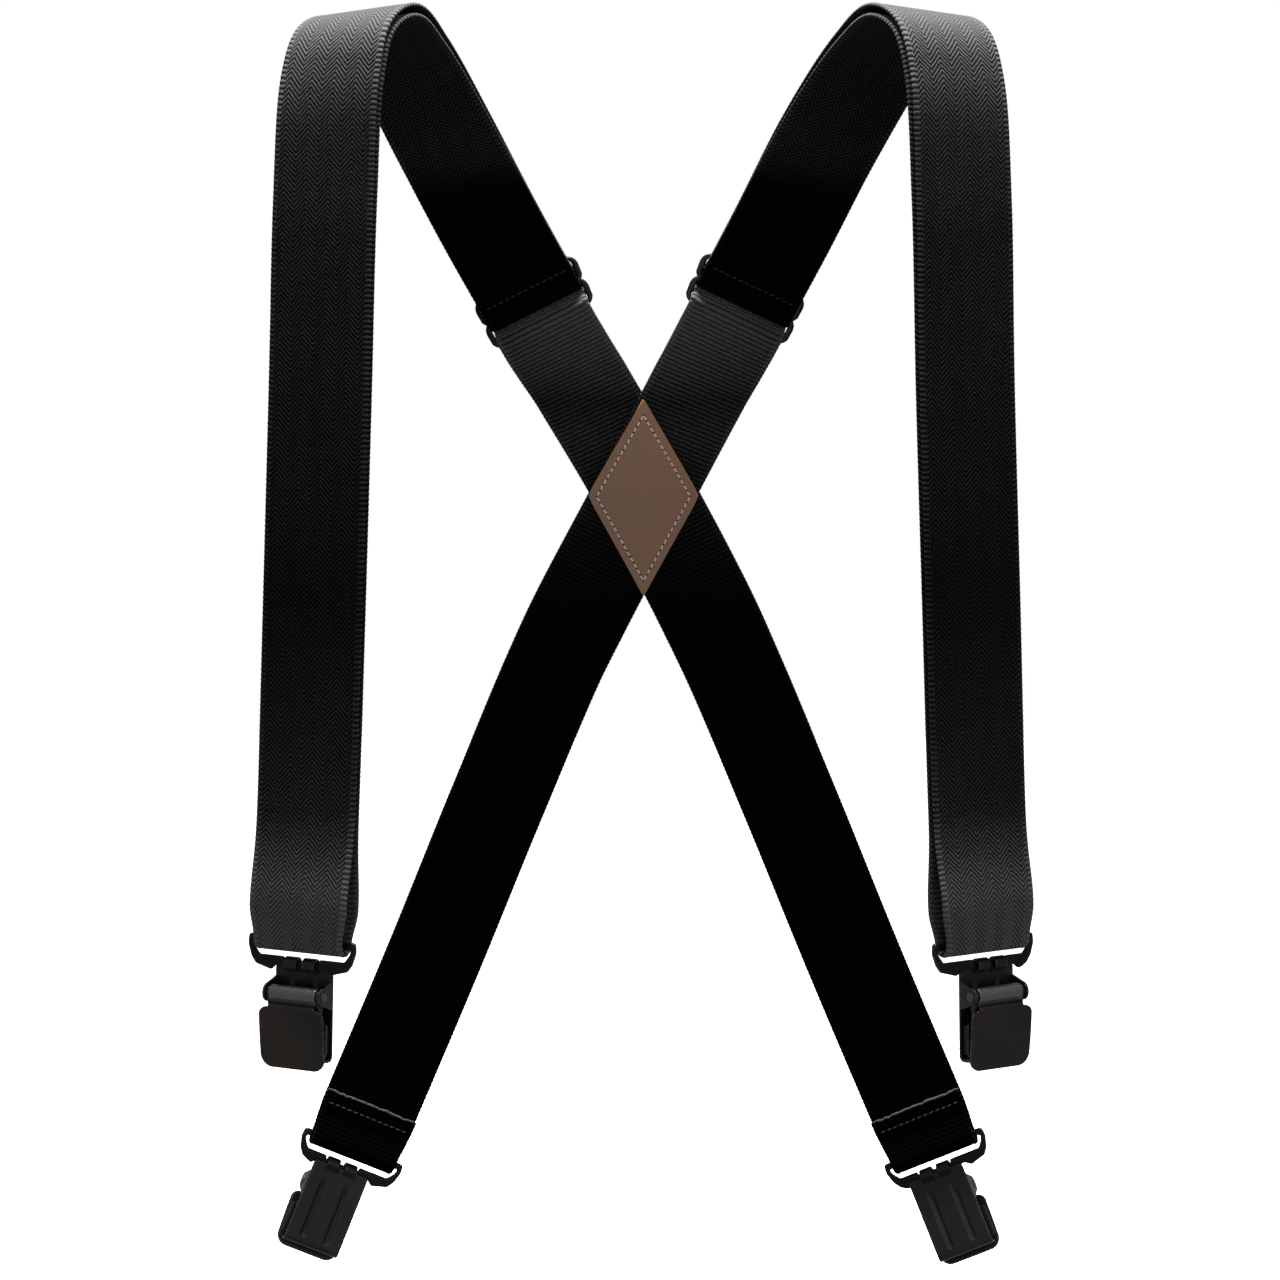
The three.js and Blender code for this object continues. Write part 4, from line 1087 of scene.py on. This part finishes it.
def bodyShape():
    half, thick = clip["bodyWidth"] / 2, clip["sheet"]
    bend = clip["lipBend"]
    foot = -clip["bodyLength"] - thick / 2
    path = joinedPath(
        straight((plateMiddle, -0.4), (plateMiddle, foot + bend), 70),
        arc(plateMiddle - bend, foot + bend, bend, 0, -90, 9),
        straight((plateMiddle - bend, foot), (plateMiddle - clip["lipDepth"], foot), 8))
    down = lengthsAlong(path)
    # the plate's shoulders are narrower above the ears, and the lip's corners are rounded
    widths = half - 0.15 * (1 - smoothStep(0.2, 2.2, down)) \
        - 0.8 * smoothStep(down[-1] - 1.2, down[-1], down)
    parts = [sheetAlong(path, widths, thick, 0.3, 64, ribLift)]
    for hand in (-1, 1):
        middle = hand * (clip["fingerGap"] / 2 + clip["fingerWidth"] / 2)
        finger = joinedPath(straight((plateMiddle, -3.4), (plateMiddle, 0), 8),
                            arc(0, 0, plateMiddle, 0, clip["fingerTurn"], 30))
        flare = lengthsAlong(finger)
        wide = clip["fingerWidth"] / 2 + 0.7 * (1 - smoothStep(1.6, 3.6, flare))
        parts.append(movedAcross(sheetAlong(finger, wide, thick, 0.3, 8), middle))
        ear = roundPlate(tabOutline(plateMiddle - 0.2, clip["earRadius"]), thick, 0.22)
        parts.append(movedAcross(ear, hand * (half - thick / 2)))
    return mergeParts(parts)


def leverShape():
    thick = clip["sheet"]
    barrelHalf = clip["bodyWidth"] / 2 - 2 * thick - 0.5
    radius = clip["barrelRadius"] - thick / 2
    face = -clip["leverFace"] + thick / 2
    slant = math.radians(clip["leverSlant"])
    top = -clip["leverTop"]
    down = clip["leverLength"] - clip["leverTop"]
    curl = arc(0, 0, radius, -95, 222, 60)
    last = curl[-1]
    jog = np.array([last, (last[0] + 0.35, last[1] - 0.75), (last[0] + 0.25, last[1] - 1.5),
                    (face - 0.15, top + 0.35), (face, top - 0.4)])
    jog = resampled(jog, 0.12, 0.5)[0]
    plateDown = straight((face, top - 0.4), (face + down * math.sin(slant),
                                              top - down * math.cos(slant)), 120)
    # the plate is very slightly crowned from top to bottom
    share = np.linspace(0, 1, 120)
    plateDown[:, 0] -= 0.35 * np.sin(np.pi * share)
    path = joinedPath(curl, jog, plateDown)
    lengths = lengthsAlong(path)
    plateStart = lengths[-1] - down
    half = clip["leverWidth"] / 2
    upper, lower = clip["leverTopBow"], clip["leverFootBow"]
    # denser rows where the corners turn
    extra = lengths[-1] - lower * (1 - np.cos(np.linspace(0, np.pi / 2, 26)))
    more = plateStart + upper * (1 - np.cos(np.linspace(0, np.pi / 2, 16)))
    spots = np.unique(np.round(np.concatenate([lengths, extra, more]), 4))
    path = np.stack([np.interp(spots, lengths, path[:, k]) for k in range(2)], axis=1)
    fromTop, fromFoot = spots - plateStart, spots[-1] - spots
    bowTop = np.clip(1 - fromTop / upper, 0, 1)
    bowFoot = np.clip(1 - fromFoot / lower, 0, 1)
    full = half - upper * (1 - np.sqrt(1 - bowTop ** 2)) - lower * (1 - np.sqrt(1 - bowFoot ** 2))
    widths = np.where(fromTop > 0, full - 0.2 * np.clip(fromTop / down, 0, 1), barrelHalf)
    points, faces, values = sheetAlong(path, widths, thick, 0.3, 30)
    # painted reflection: points on the rolled barrel get a lighter colour for the reflections it
    # catches
    fromAxis = np.hypot(points[..., 1], points[..., 2])
    values["polish"] = 1 - smoothStep(clip["barrelRadius"], clip["barrelRadius"] + 0.3, fromAxis)
    return points, faces, values


def jawShape():
    thick = clip["sheet"]
    earOuter = clip["bodyWidth"] / 2 - thick - 0.3
    leafY = clip["leafOut"]
    half = clip["jawWidth"] / 2
    foot = -clip["bodyLength"] + clip["pivotDrop"] + 1.2
    path = straight((leafY, -clip["earRadius"] - 0.4), (leafY, foot), 60)
    down = -path[:, 1]
    widths = earOuter - 0.3 + (half - earOuter + 0.3) * smoothStep(
        clip["jawShoulder"] - 0.6, clip["jawShoulder"] + 0.3, down)
    widths = widths - 0.8 * smoothStep(-foot - 0.9, -foot, down) ** 2
    parts = [sheetAlong(path, widths, thick, 0.28, 14)]
    for hand in (-1, 1):
        angle = np.radians(np.linspace(10, 170, 12))
        radius = leafY + thick / 2 + 1.4
        outline = np.vstack([
            [(leafY - thick / 2 - 0.6, -clip["earRadius"] - 3.5),
             (leafY + thick / 2, -clip["earRadius"] - 3.5)],
            np.stack([radius * np.cos(angle), radius * np.sin(angle)], axis=1)])
        parts.append(movedAcross(roundPlate(outline, thick, 0.2), hand * (earOuter - thick / 2)))
    return mergeParts(parts)


def padShape(fromY, toY, teethToward):
    # bar whose gripping face has small teeth across it
    top = -clip["bodyLength"] + clip["padLength"] + 1.6
    foot = top - clip["padLength"]
    teeth = 8
    zs = np.linspace(top - 0.3, foot + 0.3, 2 * teeth + 1)
    gripY = toY if teethToward > 0 else fromY
    backY = fromY if teethToward > 0 else toY
    depth = 0.55
    teethPoints = [(gripY - teethToward * (depth if k % 2 else 0), z) for k, z in enumerate(zs)]
    profile = [(backY, top), (gripY - teethToward * 0.3, top), *teethPoints,
               (gripY - teethToward * 0.3, foot), (backY, foot)]
    if teethToward > 0:
        profile = profile[::-1]
    return prismAlong(profile, -clip["padWidth"] / 2, clip["padWidth"] / 2)


def addMetal(node, shape, place, material, body):
    points, faces, *values = shape
    piece = makePiece("visual_" + node, place.of(points), faces, material,
                      values[0] if values else None, 45)
    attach(piece, body)
    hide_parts(node)


for sideName, line in lines.items():
    guide = guides[sideName]
    place = seated(line, guide["slideAt"], slideFold, 1)
    place = place.moved(0, 0, 0, math.degrees(guide["tilt"]))
    name = "adjuster_" + sideName
    addMetal(name, slideShape(), place, "blackMetalPaintedShade", name)

for spot, sideName, atFront, slip in (("front_right", "right", True, 0),
                                      ("front_left", "left", True, 2.6),
                                      ("back_left", "right", False, 2.6),
                                      ("back_right", "left", False, 1.8)):
    line = lines[sideName]
    tilts = frontTilts if atFront else backTilts
    ringPlace = seated(line, line.whole if atFront else 0, ringAxisHeight(atFront),
                       -1 if atFront else 1).moved(0, 0, 0, tilts["ring"])
    lower = ringPlace.moved(0, 0, -ring["pitch"])
    bodyPlace = ringPlace.moved(slip, 0, -ring["pitch"], tilts["body"])
    pivot = bodyPlace.moved(0, -clip["pivotOut"], -clip["pivotDrop"])
    leafFace = -clip["pivotOut"] + clip["leafOut"] + clip["sheet"] / 2
    pin = pinShape(clip["pinRadius"], clip["bodyWidth"] + clip["pinSpare"], clip["pinHead"])
    for kind, shape, place, material, rides, slotName in (
            ("ring_", ringShape(slip), lower, "blackMetalPaintedShade", "ring_", "ring"),
            ("clip_body_", bodyShape(), bodyPlace, "clipMetal", "clip_", "clip_steel"),
            ("pin_", pin, pivot, "barrelMetal", "clip_", "clip_steel"),
            ("lever_", leverShape(), pivot, "leverMetal", "lever_", "lever"),
            ("jaw_", jawShape(), pivot, "clipMetal", "jaw_", "clip_steel"),
            ("body_pad_", padShape(-0.1, fingerInner, -1), bodyPlace, "grip", "clip_", "grip"),
            ("jaw_pad_", padShape(leafFace, -0.7, 1), bodyPlace, "grip", "jaw_", "grip")):
        addMetal(kind + spot, shape, place, material, rides + spot)
print("metal parts are made")


hem = {"stitchAbove": 10.6, "stitchBack": 4.5, "stitchPitch": 2.6, "stitch": 2.0, "width": 0.5,
       "height": 0.5, "slant": 0.12}


def threadRow(name, line, s, h, body):
    # a row of stitches across the webbing, on its inner face
    count = int((webbing["width"] - 3) / hem["stitchPitch"])
    x = (np.arange(count) - (count - 1) / 2) * hem["stitchPitch"]
    centre, forward, side, normal = (np.broadcast_to(value, (count, 3)) for value in line.at(s))
    centres = centre + side * x[:, None] + normal * h
    turned = unit(side + forward * hem["slant"])
    bars = capsules(centres, turned, -normal, hem["stitch"], hem["width"], hem["height"])
    piece = makePiece(name, *bars, "blackThread")
    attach(piece, body)


for sideName, line in lines.items():
    guide = guides[sideName]
    foldFoot = guide["slideAt"] - slideFold - webbing["thickness"] / 2
    threadRow("hem_stitches_adjuster_" + sideName, line, foldFoot + hem["stitchAbove"],
              -webbing["thickness"] / 2, "adjuster_" + sideName)
    threadRow("hem_stitches_back_" + sideName, line, webbing["hemLength"] - hem["stitchBack"],
              -webbing["hemPitch"] - webbing["thickness"] / 2, "webbing")
    # cut end of the back hem: a rough bead of loose yarn
    count, around = 90, 10
    x = np.linspace(-1, 1, count) * (webbing["width"] / 2 + 0.25)
    centre, forward, side, normal = (value[0] for value in line.at(webbing["hemLength"] + 0.1))
    bead = np.random.default_rng(3).normal(0, 1, (count, 3))
    bead = (bead + np.roll(bead, 1, axis=0) + np.roll(bead, -1, axis=0)) / 3
    middle = centre + side * x[:, None] + normal * (-webbing["hemPitch"] - 0.1)
    middle = middle + forward * (0.22 * bead[:, :1]) + normal * (0.08 * bead[:, 1:2])
    angle = np.linspace(0, 2 * np.pi, around + 1)[:-1]
    size = np.clip((0.78 + 0.1 * bead[:, 2]) * np.sqrt(np.clip(1.02 - (x / x[-1]) ** 8, 0, 1)),
                   0.1, None)
    points = middle[:, None, :] + size[:, None, None] * (
        np.cos(angle)[None, :, None] * forward * 0.75 + np.sin(angle)[None, :, None] * normal)
    piece = makePiece("hem_cut_end_" + sideName, points, closedTube(count, around), "rawEnd")
    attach(piece, "webbing")
print("hems are made")


studio = {"fill": 0.45, "top": 110, "front": 6, "pool": 9, "low": 5}


def addLight(name, kind, power, place, target):
    data = bpy.data.lights.new(name, kind)
    data.energy = power
    light = addObject(name, data)
    light.location = place
    light.rotation_euler = (Vector(target) - Vector(place)).to_track_quat("-Z", "Y").to_euler()
    light.visible_camera = False
    return data


def addPanel(name, size, place, target):
    panel = addLight(name, "AREA", studio[name], place, target)
    panel.shape = "RECTANGLE"
    panel.size, panel.size_y = size


floorMesh = bpy.data.meshes.new("floor")
reach = 12.0
low = cadBox[0][2] - 0.06
floorMesh.from_pydata([(-reach, -reach, low), (reach, -reach, low), (reach, reach, low),
                       (-reach, reach, low)], [], [(0, 1, 2, 3)])
floorMaterial, floorTree, floorShader = newMaterial("floor", (0.9, 0.9, 0.9), 0.8)
floorShader.inputs["Specular IOR Level"].default_value = 0.1
floorShader.inputs["Emission Color"].default_value = (1, 1, 1, 1)
floorShader.inputs["Emission Strength"].default_value = 0.9
floorMesh.materials.append(floorMaterial)
floor = addObject("floor", floorMesh)
floor.visible_diffuse = False
floor.visible_glossy = False

world = bpy.data.worlds.new("studio")
scene.world = world
world.use_nodes = True
worldTree = world.node_tree
background = worldTree.nodes["Background"]
background.inputs["Color"].default_value = (1, 1, 1, 1)
sight = worldTree.nodes.new("ShaderNodeLightPath").outputs["Is Camera Ray"]
worldTree.links.new(remap(worldTree, sight, 0, 1, studio["fill"], 1.0),
                    background.inputs["Strength"])

addPanel("top", (0.6, 0.3), (0, -0.06, 1.3), (0, -0.05, 0))
addPanel("front", (1.0, 1.0), (0.5, -1.9, 0.1), (0, 0, -0.2))
addPanel("low", (0.7, 0.07), (0, -1.3, -1.2), (0, -0.06, -0.34))
# soft pool of light on the back straps where they leave the adjusters
pool = addLight("pool", "SPOT", studio["pool"], (0, -1.2, -0.45), (0, 0.05, -0.1))
pool.spot_size = math.radians(6.5)
pool.spot_blend = 1.0
pool.shadow_soft_size = 0.02
print("stage is set")
